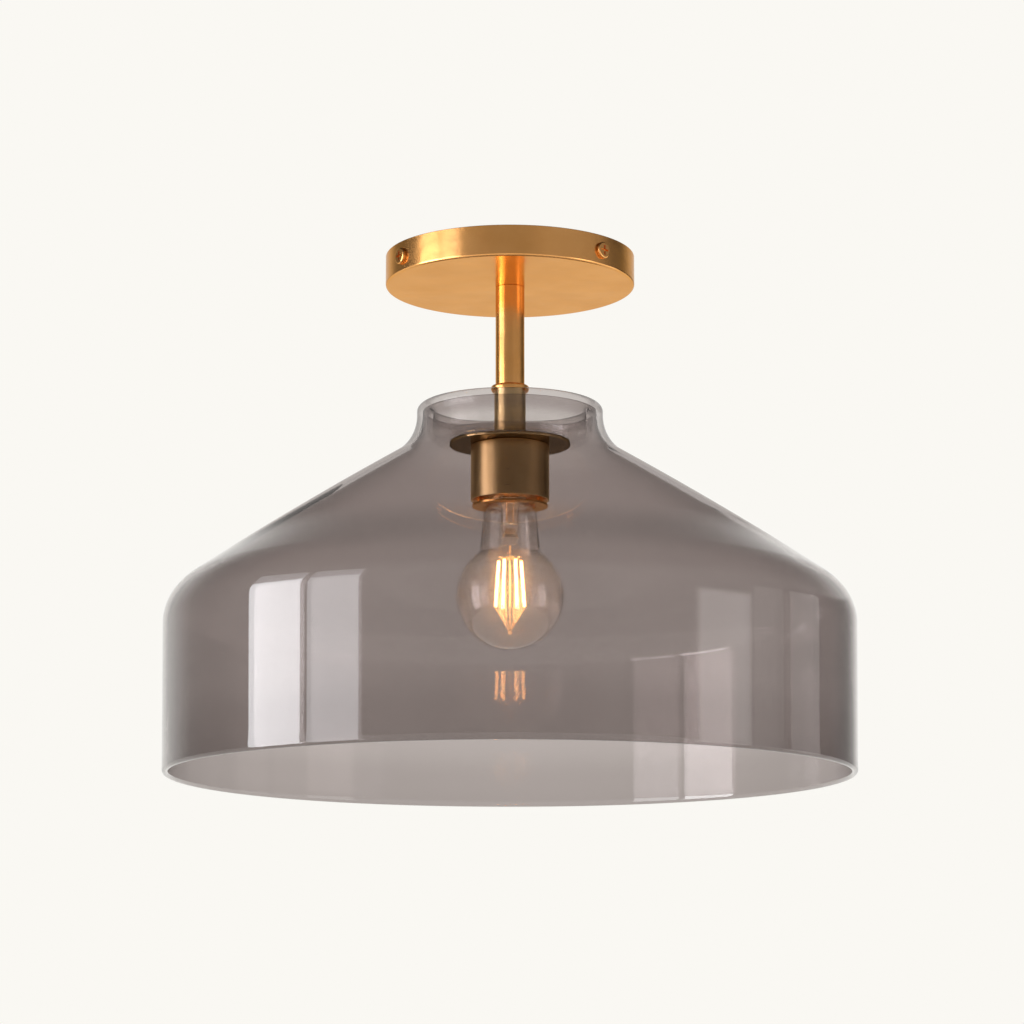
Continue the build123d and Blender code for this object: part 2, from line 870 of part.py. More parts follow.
with BuildPart() as led_filaments:
    for index in range(filament_count):
        with BuildSketch(filament_plane(index)):
            Circle(filament_radius)
        extrude(amount=filament_length)

with BuildPart() as filament_frame:
    with BuildSketch(Plane.XY.offset(press_end)):
        Circle(post_radius)
    extrude(amount=post_end - press_end)
    with Locations((0, 0, post_end)):
        Sphere(post_bead_radius)
    for index in range(filament_count):
        top_plane = filament_plane(index)
        axis = top_plane.z_dir
        top_joint = top_plane.origin - axis * arm_stub
        end_joint = top_plane.origin + axis * (filament_length + arm_stub)
        for root, joint, stub in (
            (Vector(0, 0, top_joint.Z + arm_rise), top_joint, axis),
            (Vector(0, 0, post_end), end_joint, -axis),
        ):
            with BuildSketch(Plane(origin=root, z_dir=joint - root)):
                Circle(arm_radius)
            extrude(amount=(joint - root).length)
            with BuildSketch(Plane(origin=joint, z_dir=stub)):
                Circle(arm_radius)
            extrude(amount=arm_stub)

with BuildPart() as feed_wires:
    with BuildSketch(Plane.XY.offset(mount_end + mount_wall)):
        with GridLocations(feed_spacing, 0, 2, 1):
            Circle(feed_radius)
    extrude(amount=cap_top - cap_wall - mount_end - mount_wall)

# ------------------------------------------------------------------ labels and files

pieces = {
    "canopy": canopy,
    "canopy_screws": canopy_screws,
    "mounting_plate": mounting_plate,
    "earth_screw": earth_screw,
    "threaded_tube": threaded_tube,
    "lock_washer": lock_washer,
    "top_nut": top_nut,
    "stem_tube": stem_tube,
    "stem_collar": stem_collar,
    "sleeve_tube": sleeve_tube,
    "upper_gasket": upper_gasket,
    "glass_shade": glass_shade,
    "lower_gasket": lower_gasket,
    "shade_disc": shade_disc,
    "lampholder_cup": lampholder_cup,
    "cup_nut": cup_nut,
    "end_plate": end_plate,
    "retaining_ring": retaining_ring,
    "ring_spacers": ring_spacers,
    "ring_screws": ring_screws,
    "lampholder_body": lampholder_body,
    "screw_shell": screw_shell,
    "centre_contact": centre_contact,
    "terminal_plates": terminal_plates,
    "terminal_screws": terminal_screws,
    "live_lead": live_lead,
    "neutral_lead": neutral_lead,
    "wire_connectors": wire_connectors,
    "bulb_cap": bulb_cap,
    "bulb_insulator": bulb_insulator,
    "bulb_contact": bulb_contact,
    "bulb_glass": bulb_glass,
    "bulb_stem": bulb_stem,
    "led_filaments": led_filaments,
    "filament_frame": filament_frame,
    "feed_wires": feed_wires,
}

os.makedirs("parts", exist_ok=True)
for name, piece in pieces.items():
    piece.part.label = name
    export_step(piece.part, f"parts/{name}.step")

print("heights: glass top", round(glass_top, 1), "rim", round(shade_rim, 1))
print("cup mouth", round(cup_bottom, 1), "bulb end", round(globe_centre - globe_radius, 1))
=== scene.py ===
# %% [markdown]
# # A semi flush ceiling light
#
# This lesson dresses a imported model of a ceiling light: a round brass canopy, a brass stem, a
# blown shade of smoky glass with a folded neck, and a clear bulb with upright light sticks.
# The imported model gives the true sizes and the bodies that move. It stays where it is, and every
# piece made here rides on one of its bodies.

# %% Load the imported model
import json
import math

import bmesh
import bpy
from mathutils import Matrix, Vector


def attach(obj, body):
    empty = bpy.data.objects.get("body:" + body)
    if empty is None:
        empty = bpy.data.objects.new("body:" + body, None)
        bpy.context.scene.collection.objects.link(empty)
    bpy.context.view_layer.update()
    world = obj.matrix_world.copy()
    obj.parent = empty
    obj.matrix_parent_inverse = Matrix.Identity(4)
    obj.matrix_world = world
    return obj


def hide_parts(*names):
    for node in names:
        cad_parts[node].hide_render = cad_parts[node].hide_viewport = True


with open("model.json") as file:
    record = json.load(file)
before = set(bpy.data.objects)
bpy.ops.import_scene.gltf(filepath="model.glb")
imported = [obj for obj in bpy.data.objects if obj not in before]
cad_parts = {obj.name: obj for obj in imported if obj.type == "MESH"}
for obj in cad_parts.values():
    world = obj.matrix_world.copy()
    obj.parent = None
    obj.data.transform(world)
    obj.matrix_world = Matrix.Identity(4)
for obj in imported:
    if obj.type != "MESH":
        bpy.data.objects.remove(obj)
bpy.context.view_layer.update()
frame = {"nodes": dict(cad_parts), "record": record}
scene = bpy.context.scene
MM = 0.001

# %% [markdown]
# ## Camera
#
# A camera can be placed by eye or worked out. Here the round edges of the canopy, the neck, the
# disc and the rim were matched as ellipses, which gives a long lens a little below the shade,
# looking up by about ten degrees. A long lens keeps the ellipses calm, as in a shop picture.

# %% Camera
FRAME_PIXELS = 1024
FOCAL_PIXELS = 3103
CAMERA_TILT = 10.42

lens = bpy.data.cameras.new("camera")
lens.sensor_width = 36
lens.lens = FOCAL_PIXELS / FRAME_PIXELS * lens.sensor_width
camera = bpy.data.objects.new("camera", lens)
camera.location = (0.0012, -1.818, -0.4904)
camera.rotation_euler = (math.radians(90 + CAMERA_TILT), 0, 0)
scene.collection.objects.link(camera)
scene.camera = camera
print("lens", round(lens.lens, 1), "mm")

# %% [markdown]
# ## Materials are small node trees
#
# A material could be one flat colour, but real metal and glass are never quite even. Each finish
# below starts from the same shader, and a few shared node groups bring the unevenness: broad
# mottling, the fine lines that a lathe leaves, and smudges. The groups read the position on the
# object itself, so the pattern stays put when the camera or the piece moves.

# %% Node helpers
def link(tree, source, target):
    """Joins two sockets."""
    tree.links.new(source, target)


def add_node(tree, kind, **settings):
    """A new node; settings that are socket names fill its inputs, the rest are its options."""
    node = tree.nodes.new(kind)
    for name, value in settings.items():
        if hasattr(node, name):
            setattr(node, name, value)
        elif hasattr(value, "links"):
            link(tree, value, node.inputs[name.replace("_", " ")])
        else:
            node.inputs[name.replace("_", " ")].default_value = value
    return node


def math_node(tree, operation, first, second=0.0):
    """One arithmetic step on two numbers or sockets."""
    node = tree.nodes.new("ShaderNodeMath")
    node.operation = operation
    for socket, value in zip(node.inputs, (first, second)):
        if hasattr(value, "links"):
            link(tree, value, socket)
        else:
            socket.default_value = value
    return node.outputs[0]


def product(tree, first, *others):
    """Numbers or sockets, multiplied."""
    for other in others:
        first = math_node(tree, "MULTIPLY", first, other)
    return first


def soft_step(tree, value, start, end, low=0.0, high=1.0):
    """Goes smoothly from low to high while the value goes from start to end."""
    ramp = add_node(
        tree, "ShaderNodeMapRange", interpolation_type="SMOOTHSTEP",
        Value=value, From_Min=start, From_Max=end, To_Min=low, To_Max=high,
    )
    return ramp.outputs["Result"]


def place_on_piece(tree):
    """Sockets for x, y and z on the object itself, in metres."""
    place = tree.nodes.new("ShaderNodeTexCoord")
    return add_node(tree, "ShaderNodeSeparateXYZ", Vector=place.outputs["Object"]).outputs


def distance_and_height(tree):
    """Distance from the axis and height, both in metres."""
    x, y, z = place_on_piece(tree)
    flat = add_node(tree, "ShaderNodeCombineXYZ", X=x, Y=y)
    length = add_node(tree, "ShaderNodeVectorMath", operation="LENGTH", Vector=flat.outputs[0])
    return length.outputs["Value"], z


def new_group(name, kind, inputs, outputs):
    """An empty node group with its named sockets."""
    tree = bpy.data.node_groups.new(name, kind)
    for label, socket, value in inputs:
        item = tree.interface.new_socket(label, in_out="INPUT", socket_type=socket)
        if value is not None:
            item.default_value = value
    for label, socket in outputs:
        tree.interface.new_socket(label, in_out="OUTPUT", socket_type=socket)
    return tree, tree.nodes.new("NodeGroupInput"), tree.nodes.new("NodeGroupOutput")


# %% [markdown]
# ### Mottling
#
# Lacquered brass and blown glass vary slowly over a few centimetres. A noise texture, stretched
# to the full range, gives that in one number from low to high.

# %% Group: mottling
FLOAT = "NodeSocketFloat"
mottling, ins, outs = new_group(
    "mottling",
    "ShaderNodeTree",
    [("Size", FLOAT, 30.0), ("Detail", FLOAT, 2.0), ("Low", FLOAT, 0.0), ("High", FLOAT, 1.0)],
    [("Value", FLOAT)],
)
place = mottling.nodes.new("ShaderNodeTexCoord").outputs["Object"]
noise = add_node(
    mottling, "ShaderNodeTexNoise", Vector=place, Scale=ins.outputs["Size"], Detail=ins.outputs["Detail"]
)
spread = add_node(
    mottling, "ShaderNodeMapRange", Value=noise.outputs["Fac"], From_Min=0.32, From_Max=0.68,
    To_Min=ins.outputs["Low"], To_Max=ins.outputs["High"],
)
link(mottling, spread.outputs["Result"], outs.inputs["Value"])
print("group", mottling.name)

# %% [markdown]
# ### Turning lines
#
# A spun or turned brass piece carries very fine lines round its axis. The position is turned into
# distance from the axis, height and angle, and a noise that changes fast along the first two and
# slowly along the angle draws such lines on the flat face and on the side alike.

# %% Group: turning lines
turning_lines, ins, outs = new_group(
    "turning_lines",
    "ShaderNodeTree",
    [("Lines", FLOAT, 900.0), ("Drag", FLOAT, 1.5)],
    [("Value", FLOAT)],
)
x, y, z = place_on_piece(turning_lines)
distance, height = distance_and_height(turning_lines)
angle = math_node(turning_lines, "ARCTAN2", y, x)
unrolled = add_node(
    turning_lines, "ShaderNodeCombineXYZ",
    X=product(turning_lines, distance, ins.outputs["Lines"]),
    Y=product(turning_lines, height, ins.outputs["Lines"]),
    Z=product(turning_lines, angle, ins.outputs["Drag"]),
)
noise = add_node(
    turning_lines, "ShaderNodeTexNoise", Vector=unrolled.outputs[0], Scale=1.0, Detail=3.0
)
link(turning_lines, noise.outputs["Fac"], outs.inputs["Value"])
print("group", turning_lines.name)

# %% [markdown]
# ### From groups to a finish
#
# Every finish is built the same way, so the steps are helpers: a material with one shader, a
# group placed in it, two colours mixed by the group's number, a range of roughness, and a bump.

# %% Finish helpers
def new_finish(name, **sockets):
    """A material with one shader; the plain values are set on the shader's own sockets."""
    material = bpy.data.materials.new(name)
    material.use_nodes = True
    tree = material.node_tree
    tree.nodes.clear()
    shader = tree.nodes.new("ShaderNodeBsdfPrincipled")
    output = tree.nodes.new("ShaderNodeOutputMaterial")
    link(tree, shader.outputs["BSDF"], output.inputs["Surface"])
    for socket, value in sockets.items():
        shader.inputs[socket.replace("_", " ")].default_value = value
    return material, tree, shader


def use_group(tree, group, **values):
    """Places a shared group and gives its number."""
    node = tree.nodes.new("ShaderNodeGroup")
    node.node_tree = group
    for name, value in values.items():
        node.inputs[name].default_value = value
    return node.outputs["Value"]


def mixed(tree, amount, first, second, blend="MIX"):
    """Two colours, each three numbers or a socket, mixed by an amount."""
    mix = tree.nodes.new("ShaderNodeMix")
    mix.data_type = "RGBA"
    mix.blend_type = blend
    for name, value in (("Factor", amount), ("A", first), ("B", second)):
        if hasattr(value, "links"):
            link(tree, value, mix.inputs[name])
        else:
            mix.inputs[name].default_value = value if name == "Factor" else (*value, 1)
    return mix.outputs["Result"]


def colour_between(tree, shader, low, high, amount, socket="Base Color"):
    """Colours a socket between two colours by a number that changes over the surface."""
    link(tree, mixed(tree, amount, low, high), shader.inputs[socket])


def roughness_between(tree, shader, low, high, amount):
    """Spreads a number from 0 to 1 over a range of roughness."""
    spread = add_node(tree, "ShaderNodeMapRange", Value=amount, To_Min=low, To_Max=high)
    link(tree, spread.outputs["Result"], shader.inputs["Roughness"])


def add_bump(tree, shader, height, depth, before=None):
    """Raises the surface by a number that changes over it; depth is in metres."""
    bump = add_node(tree, "ShaderNodeBump", Height=height, Distance=depth)
    if before is not None:
        link(tree, before.outputs["Normal"], bump.inputs["Normal"])
    link(tree, bump.outputs["Normal"], shader.inputs["Normal"])
    return bump


# %% [markdown]
# ### Brass
#
# The canopy and stem are one lacquered brass, the cup and sleeve a paler brushed one, and the disc is
# polished. The specular tint is the colour that the metal takes where the view grazes it. On the disc it is
# nearly black, a painted dark reflection that makes its underside a dark mirror. Brass is redder where it
# is mottled.
# Roughness and a very low bump follow the turning lines, and shallow waves of two sizes give the
# wavering reflections of spun sheet.

# %% Brass finishes
def brass(name, low, high, smooth, rough, waves, edge):
    """Lacquered brass: two shades, a range of roughness, the depth of its waves, the edge tint."""
    material, tree, shader = new_finish(
        name, Metallic=1.0, Specular_Tint=(*edge, 1), Coat_Weight=0.3, Coat_Roughness=0.12
    )
    colour_between(tree, shader, low, high, use_group(tree, mottling, Size=38.0, Detail=4.0))
    lines = use_group(tree, turning_lines)
    roughness_between(tree, shader, smooth, rough, lines)
    broad = use_group(tree, mottling, Size=26.0, Detail=1.0)
    patches = use_group(tree, mottling, Size=95.0, Detail=1.5)
    first = add_bump(tree, shader, broad, waves)
    second = add_bump(tree, shader, patches, waves / 6, before=first)
    add_bump(tree, shader, lines, 0.0000008, before=second)
    return material


# The disc's edge tint is nearly black: a painted dark reflection on its underside.
CANOPY_EDGE, BARE_EDGE, DISC_PAINTED_DARK_REFLECTION = (0.79, 0.60, 0.35), (0.80, 0.70, 0.52), (0.16, 0.14, 0.12)
finishes = {
    "satin_brass": brass(
        "satin brass", (0.75, 0.350, 0.100), (0.83, 0.41, 0.135), 0.17, 0.27, 0.00042, CANOPY_EDGE
    ),
    "cup_brass": brass(
        "brushed brass", (0.62, 0.41, 0.19), (0.72, 0.50, 0.25), 0.24, 0.36, 0.00010, BARE_EDGE
    ),
    "disc_brass": brass(
        "polished brass", (0.52, 0.36, 0.18), (0.60, 0.42, 0.22), 0.08, 0.14, 0.00004, DISC_PAINTED_DARK_REFLECTION
    ),
    "contact_brass": brass(
        "contact brass", (0.72, 0.47, 0.18), (0.84, 0.60, 0.28), 0.22, 0.42, 0.00010, BARE_EDGE
    ),
}
print("brass finishes", list(finishes))


# %% [markdown]
# ### Zinc, nickel and wire
#
# The hidden fittings are steel with a thin plating. Zinc shows broad cloudy grains, nickel is
# smoother and brighter, and the thin wires inside the bulb are bare and slightly warm.

# %% Plated finishes
def plated(name, low, high, smooth, rough, grain):
    """Plated steel with a cloudy surface."""
    material, tree, shader = new_finish(name, Metallic=1.0)
    cloud = use_group(tree, mottling, Size=grain, Detail=5.0)
    colour_between(tree, shader, low, high, cloud)
    roughness_between(tree, shader, smooth, rough, cloud)
    add_bump(tree, shader, cloud, 0.00003)
    return material


for slot, name, low, high, smooth, rough, grain in (
    ("zinc_steel", "zinc plating", (0.50, 0.51, 0.52), (0.68, 0.69, 0.70), 0.30, 0.50, 160.0),
    ("nickel", "nickel plating", (0.60, 0.57, 0.52), (0.74, 0.71, 0.66), 0.18, 0.34, 300.0),
    ("wire_steel", "bare wire", (0.55, 0.45, 0.36), (0.72, 0.62, 0.52), 0.20, 0.35, 900.0),
):
    finishes[slot] = plated(name, low, high, smooth, rough, grain)

# The wires stand so close to the light sticks that they catch their light, so they get a painted glow: an
# amber emission, mottled into glints.
tree = finishes["wire_steel"].node_tree
shader = tree.nodes["Principled BSDF"]
shader.inputs["Emission Strength"].default_value = 2.0
painted_wire_glow = use_group(tree, mottling, Size=420.0)
colour_between(tree, shader, (0.05, 0.02, 0.0), (1.0, 0.48, 0.15), painted_wire_glow, "Emission Color")
print("finishes", len(finishes))


# %% [markdown]
# ### Paint, ceramic, plastics and rubber
#
# These finishes don't conduct, so they keep a plain surface gloss over a body colour. Each gets
# its own mottling scale: fine speckle for glazed ceramic, soft orange peel for moulded plastic.

# %% Body colour finishes
def coloured(name, low, high, smooth, rough, grain, relief, **sockets):
    """Paint, ceramic, plastic or rubber: a body colour with a fine relief."""
    material, tree, shader = new_finish(name, **sockets)
    speckle = use_group(tree, mottling, Size=grain, Detail=4.0)
    colour_between(tree, shader, low, high, speckle)
    roughness_between(tree, shader, smooth, rough, speckle)
    add_bump(tree, shader, speckle, relief)
    return material


for slot, name, low, high, smooth, rough, grain, relief in (
    ("green_paint", "green paint", (0.02, 0.20, 0.06), (0.04, 0.28, 0.09), 0.30, 0.45, 400.0, 0.00004),
    ("white_ceramic", "glazed ceramic", (0.74, 0.71, 0.66), (0.82, 0.80, 0.76), 0.12, 0.3, 250.0, 0.00003),
    ("black_insulation", "black insulation", (0.015, 0.015, 0.016), (0.035, 0.035, 0.037),
     0.35, 0.55, 350.0, 0.00004),
    ("white_insulation", "white insulation", (0.70, 0.69, 0.66), (0.80, 0.79, 0.76),
     0.35, 0.55, 350.0, 0.00004),
    ("connector_plastic", "connector plastic", (0.72, 0.22, 0.03), (0.80, 0.28, 0.05),
     0.35, 0.50, 300.0, 0.00005),
    ("black_glass", "black glass", (0.008, 0.008, 0.010), (0.02, 0.02, 0.024), 0.06, 0.16, 300.0, 0.00002),
):
    finishes[slot] = coloured(name, low, high, smooth, rough, grain, relief)
finishes["clear_silicone"] = coloured(
    "clear silicone", (0.62, 0.60, 0.57), (0.72, 0.70, 0.66), 0.3, 0.45, 300.0, 0.00003,
    Transmission_Weight=0.6, IOR=1.41,
)
print("finishes", len(finishes))


# %% [markdown]
# ### Glass
#
# Blown glass is clear through the body, so it is made of light that passes, not of grey paint.
# The shader tints what passes through a wall, and two walls tint it twice, which makes the side
# of the shade darker than its open mouth. The drawn wall is even, where blown glass is thinner in
# its bends, so the body bends light only a little, and a clear coat of full strength brings the
# reflections of glass. A very shallow slow bump bends the reflections a bit, as the surface of
# hand-blown glass does. Where the neck is folded, the wall is drawn out thin, so the smoke is
# paler there. Fine haze is made by a group of its own: most of the surface is clear, and a few
# grains, far smaller than a picture point, are dull. They spread a bright light stick into a soft
# glow round it, and leave the rest sharp.

# %% Group: haze
haze, ins, outs = new_group(
    "haze",
    "ShaderNodeTree",
    [("Grain", FLOAT, 24000.0), ("Share", FLOAT, 0.03), ("Low", FLOAT, 0.0), ("High", FLOAT, 0.5)],
    [("Value", FLOAT)],
)
place = haze.nodes.new("ShaderNodeTexCoord").outputs["Object"]
finer = add_node(
    haze, "ShaderNodeVectorMath", operation="SCALE", Vector=place, Scale=ins.outputs["Grain"]
)
cells = add_node(haze, "ShaderNodeVectorMath", operation="FLOOR", Vector=finer.outputs[0])
dice = add_node(haze, "ShaderNodeTexWhiteNoise", Vector=cells.outputs[0])
chosen = math_node(haze, "LESS_THAN", dice.outputs["Value"], ins.outputs["Share"])
spread = add_node(
    haze, "ShaderNodeMapRange", Value=chosen, To_Min=ins.outputs["Low"], To_Max=ins.outputs["High"]
)
link(haze, spread.outputs["Result"], outs.inputs["Value"])
print("group", haze.name)

# %% [markdown]
# The smoke is darkest at the rim and palest at the neck, so its tint is written as a few stops of
# height with a smooth change between them. The slope faces up to the canopy and would mirror it
# as a bright bowl. A photographer turns a polarising filter until that fades, and a thinner coat
# on the slope does the same here.

# %% Glass finishes
def colour_ramp(tree, value, stops, interpolation="LINEAR"):
    """A colour for each value from 0 to 1; stops are (value, colour), lowest first."""
    ramp = add_node(tree, "ShaderNodeValToRGB", Fac=value)
    ramp.color_ramp.interpolation = interpolation
    marks = ramp.color_ramp.elements
    while len(marks) < len(stops):
        marks.new(0.5)
    for mark, (place, colour) in zip(marks, stops):
        mark.position = place
        mark.color = (*colour, 1)
    return ramp.outputs["Color"]


def tint_by_height(tree, stops):
    """A colour that changes with height; stops are (height in metres, colour), lowest first."""
    low, high = stops[0][0], stops[-1][0]
    height = place_on_piece(tree)[2]
    spread = add_node(tree, "ShaderNodeMapRange", Value=height, From_Min=low, From_Max=high)
    shares = [((level - low) / (high - low), colour) for level, colour in stops]
    return colour_ramp(tree, spread.outputs["Result"], shares, "EASE")


def glass(name, stops, waves, wave_size, hazy, rough, **sockets):
    """Clear glass whose body takes away some light, with a little haze."""
    material, tree, shader = new_finish(
        name, Transmission_Weight=1.0, Coat_Weight=1.0, Coat_Roughness=0.01, Coat_IOR=1.5, **sockets
    )
    cloudy = use_group(tree, mottling, Size=9.0, Detail=2.0, Low=0.965, High=1.0)
    shade = add_node(tree, "ShaderNodeCombineColor", Red=cloudy, Green=cloudy, Blue=cloudy)
    tint = mixed(tree, 1.0, tint_by_height(tree, stops), shade.outputs[0], "MULTIPLY")
    link(tree, tint, shader.inputs["Base Color"])
    link(tree, use_group(tree, haze, Share=hazy, High=rough), shader.inputs["Roughness"])
    add_bump(tree, shader, use_group(tree, mottling, Size=wave_size, Detail=0.0), waves)
    return material


SIDE_SMOKE, NECK_SMOKE = (0.515, 0.468, 0.460), (0.630, 0.588, 0.580)
smoky_glass = glass("smoky glass", [
    (-0.314, (0.422, 0.380, 0.372)), (-0.297, (0.440, 0.396, 0.388)), (-0.272, SIDE_SMOKE),
    (-0.128, SIDE_SMOKE), (-0.108, NECK_SMOKE), (-0.080, NECK_SMOKE),
], 0.00012, 11.0, 0.004, 0.5, IOR=1.01)
tree = smoky_glass.node_tree
coat = tint_by_height(tree, [
    (height, (weight, weight, weight))
    for height, weight in (
        (-0.314, 1), (-0.195, 1), (-0.172, 0.03), (-0.125, 0.03), (-0.110, 0.6), (-0.080, 0.6)
    )
])
link(tree, coat, tree.nodes["Principled BSDF"].inputs["Coat Weight"])
clear_glass = glass(
    "clear glass", [(-0.240, (1.0, 0.985, 0.965)), (-0.140, (1.0, 0.985, 0.965))],
    0.00004, 40.0, 0.07, 0.54, IOR=1.47,
)
finishes.update(smoky_glass=smoky_glass, clear_glass=clear_glass)
print("glass", smoky_glass.name, "and", clear_glass.name)

# %% [markdown]
# The lit bulb's glass gets a painted glow, standing in for the light of the sticks caught in it: a little
# in the globe, and more in the mount, which stands right over the light sticks and would pipe their glow
# upwards. Both are written as a weak amber emission by place: by height, and by distance from the axis.

# %% Painted glow in the bulb glass
MOUNT_REACH, MOUNT_FOOT = 0.007, -0.190

tree = clear_glass.node_tree
shader = tree.nodes["Principled BSDF"]
distance, height = distance_and_height(tree)
near_axis = math_node(tree, "LESS_THAN", distance, MOUNT_REACH)
in_mount = product(tree, near_axis, math_node(tree, "GREATER_THAN", height, MOUNT_FOOT))
in_globe = math_node(tree, "SUBTRACT", 1.0, in_mount)
# Painted glow: amber emission, weak in the globe and stronger in the mount, fading with height.
glow = math_node(
    tree, "ADD",
    product(tree, in_globe, soft_step(tree, height, -0.158, -0.190, 0.0, 0.10)),
    product(tree, in_mount, soft_step(tree, height, -0.148, -0.176, 0.05, 0.35)),
)
shader.inputs["Emission Strength"].default_value = 0.22
colour_between(tree, shader, (0, 0, 0), (1.0, 0.60, 0.34), glow, "Emission Color")
print("glow in", clear_glass.name)

# %% [markdown]
# Where the view grazes the wall, light takes a longer way through the smoke. That darker line along each
# edge is painted shade here: the tint is darkened by how much the view grazes, which Layer Weight tells.
# The glass floor is seen almost edge-on, and a ray crosses its faces many times, so it gets a much paler
# tint instead.

# %% Painted dark edges and pale floor of the shade
FLOOR_REACH, FLOOR_TINT = 0.0505, (0.93, 0.92, 0.91)
SIDE_PAINTED_SHADE, SLOPE_PAINTED_SHADE, NECK_PAINTED_SHADE = (0.30, 0.27, 0.265), (0.38, 0.345, 0.338), (0.17, 0.153, 0.15)

tree = smoky_glass.node_tree
shader = tree.nodes["Principled BSDF"]
smoke = shader.inputs["Base Color"].links[0].from_socket
distance, height = distance_and_height(tree)
near_axis = math_node(tree, "LESS_THAN", distance, FLOOR_REACH)
in_floor = product(tree, near_axis, soft_step(tree, height, -0.098, -0.107))
grazing = add_node(tree, "ShaderNodeLayerWeight", Blend=0.5).outputs["Facing"]
painted_edge_shade = tint_by_height(tree, [
    (-0.314, SIDE_PAINTED_SHADE), (-0.190, SLOPE_PAINTED_SHADE), (-0.125, SLOPE_PAINTED_SHADE),
    (-0.110, NECK_PAINTED_SHADE), (-0.080, NECK_PAINTED_SHADE),
])
# The tint turns to the painted edge shade where the view grazes.
darker = mixed(tree, soft_step(tree, grazing, 0.60, 0.88), smoke, painted_edge_shade)
link(tree, mixed(tree, in_floor, darker, FLOOR_TINT), shader.inputs["Base Color"])
print("edges and floor in", smoky_glass.name)

# %% [markdown]
# ### Light sticks
#
# Each stick is a row of tiny lamps on a glass strip in an amber coating. The coating glows almost
# white along the middle. Slow variation along it stops it from being one flat colour.

# %% Light stick finish
coating, tree, shader = new_finish("light stick coating", Roughness=0.5, Emission_Strength=160.0)
chips = use_group(tree, mottling, Size=520.0, Detail=1.0)
colour_between(tree, shader, (0.80, 0.42, 0.10), (0.90, 0.55, 0.16), chips)
colour_between(tree, shader, (1.0, 0.44, 0.12), (1.0, 0.60, 0.22), chips, "Emission Color")
finishes["filament_coating"] = coating
print("finishes", len(finishes))

# %% [markdown]
# ## A lathe in Geometry Nodes
#
# Nearly every piece of this light was turned, spun or blown, so it is round about one line. A
# modelling lathe could be the Spin tool or a Screw modifier. Here a small tree does it: it takes
# the points of an outline, lays them out as the rows of a grid, and bends the grid round the
# axis. Its sizes are named inputs, and it can press a screw thread into part of the side.

# %% Tree: lathe
lathe, ins, outs = new_group(
    "lathe",
    "GeometryNodeTree",
    [
        ("Outline", "NodeSocketGeometry", None),
        ("Rows", "NodeSocketInt", 8),
        ("Segments", "NodeSocketInt", 96),
        ("Thread depth", FLOAT, 0.0),
        ("Thread pitch", FLOAT, 0.001),
        ("Thread top", FLOAT, 0.0),
        ("Thread bottom", FLOAT, 0.0),
        ("Thread from radius", FLOAT, 0.0),
        ("Finish", "NodeSocketMaterial", None),
    ],
    [("Piece", "NodeSocketGeometry")],
)
sizes = ins.outputs
around = math_node(lathe, "ADD", sizes["Segments"], 1.0)
grid = add_node(lathe, "GeometryNodeMeshGrid", Vertices_X=sizes["Rows"], Vertices_Y=around)
index = lathe.nodes.new("GeometryNodeInputIndex").outputs[0]
middle = math_node(lathe, "ADD", index, 0.5)
row = math_node(lathe, "FLOOR", math_node(lathe, "DIVIDE", middle, around))
column = math_node(lathe, "SUBTRACT", index, product(lathe, row, around))
turn = math_node(lathe, "DIVIDE", product(lathe, column, 2 * math.pi), sizes["Segments"])
here = lathe.nodes.new("GeometryNodeInputPosition").outputs[0]
sample = add_node(
    lathe, "GeometryNodeSampleIndex", data_type="FLOAT_VECTOR",
    Geometry=sizes["Outline"], Value=here, Index=row,
)
apart = add_node(lathe, "ShaderNodeSeparateXYZ", Vector=sample.outputs["Value"])
radius, height = apart.outputs[0], apart.outputs[2]

# %% [markdown]
# The thread is right-handed: along the side the crest climbs by one pitch in one turn. It is a
# wave of the angle and the height, which cuts into the side only between two heights and only on
# the outer face. The tree ends with real geometry in its finish.

# %% Tree: thread and finish
def end_tree(tree, geometry, finish, outs):
    """Ends a tree with real geometry that wears its finish."""
    real = add_node(tree, "GeometryNodeRealizeInstances", Geometry=geometry)
    paint = add_node(
        tree, "GeometryNodeSetMaterial", Geometry=real.outputs["Geometry"], Material=finish
    )
    link(tree, paint.outputs["Geometry"], outs.inputs["Piece"])


climbed = math_node(lathe, "DIVIDE", product(lathe, height, 2 * math.pi), sizes["Thread pitch"])
phase = math_node(lathe, "SUBTRACT", turn, climbed)
wave = product(lathe, math_node(lathe, "ADD", math_node(lathe, "COSINE", phase), 1.0), 0.5)
below_top = math_node(lathe, "LESS_THAN", height, sizes["Thread top"])
above_bottom = math_node(lathe, "GREATER_THAN", height, sizes["Thread bottom"])
outside = math_node(lathe, "GREATER_THAN", radius, sizes["Thread from radius"])
groove = product(lathe, wave, below_top, above_bottom, outside, sizes["Thread depth"])
threaded = math_node(lathe, "SUBTRACT", radius, groove)
joined = add_node(
    lathe, "ShaderNodeCombineXYZ",
    X=product(lathe, threaded, math_node(lathe, "COSINE", turn)),
    Y=product(lathe, threaded, math_node(lathe, "SINE", turn)),
    Z=height,
)
bend = add_node(
    lathe, "GeometryNodeSetPosition", Geometry=grid.outputs["Mesh"], Position=joined.outputs[0]
)
merge = add_node(
    lathe, "GeometryNodeMergeByDistance", Geometry=bend.outputs["Geometry"], Distance=0.000002
)
end_tree(lathe, merge.outputs["Geometry"], sizes["Finish"], outs)
print("tree", lathe.name, "with", len(lathe.nodes), "nodes")

# %% [markdown]
# ## From a tree to a piece
#
# A tree only shows its result through a modifier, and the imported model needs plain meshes. So the
# outline goes into a helper object, the modifier gets its sizes, the result is read back as a
# mesh, and the helper is thrown away. Then the normals are made to face outwards and each edge
# that turns by more than a set angle stays crisp.

# %% Piece helpers
CRISP_ANGLE = math.radians(38)
MERGE_DISTANCE = 0.000002


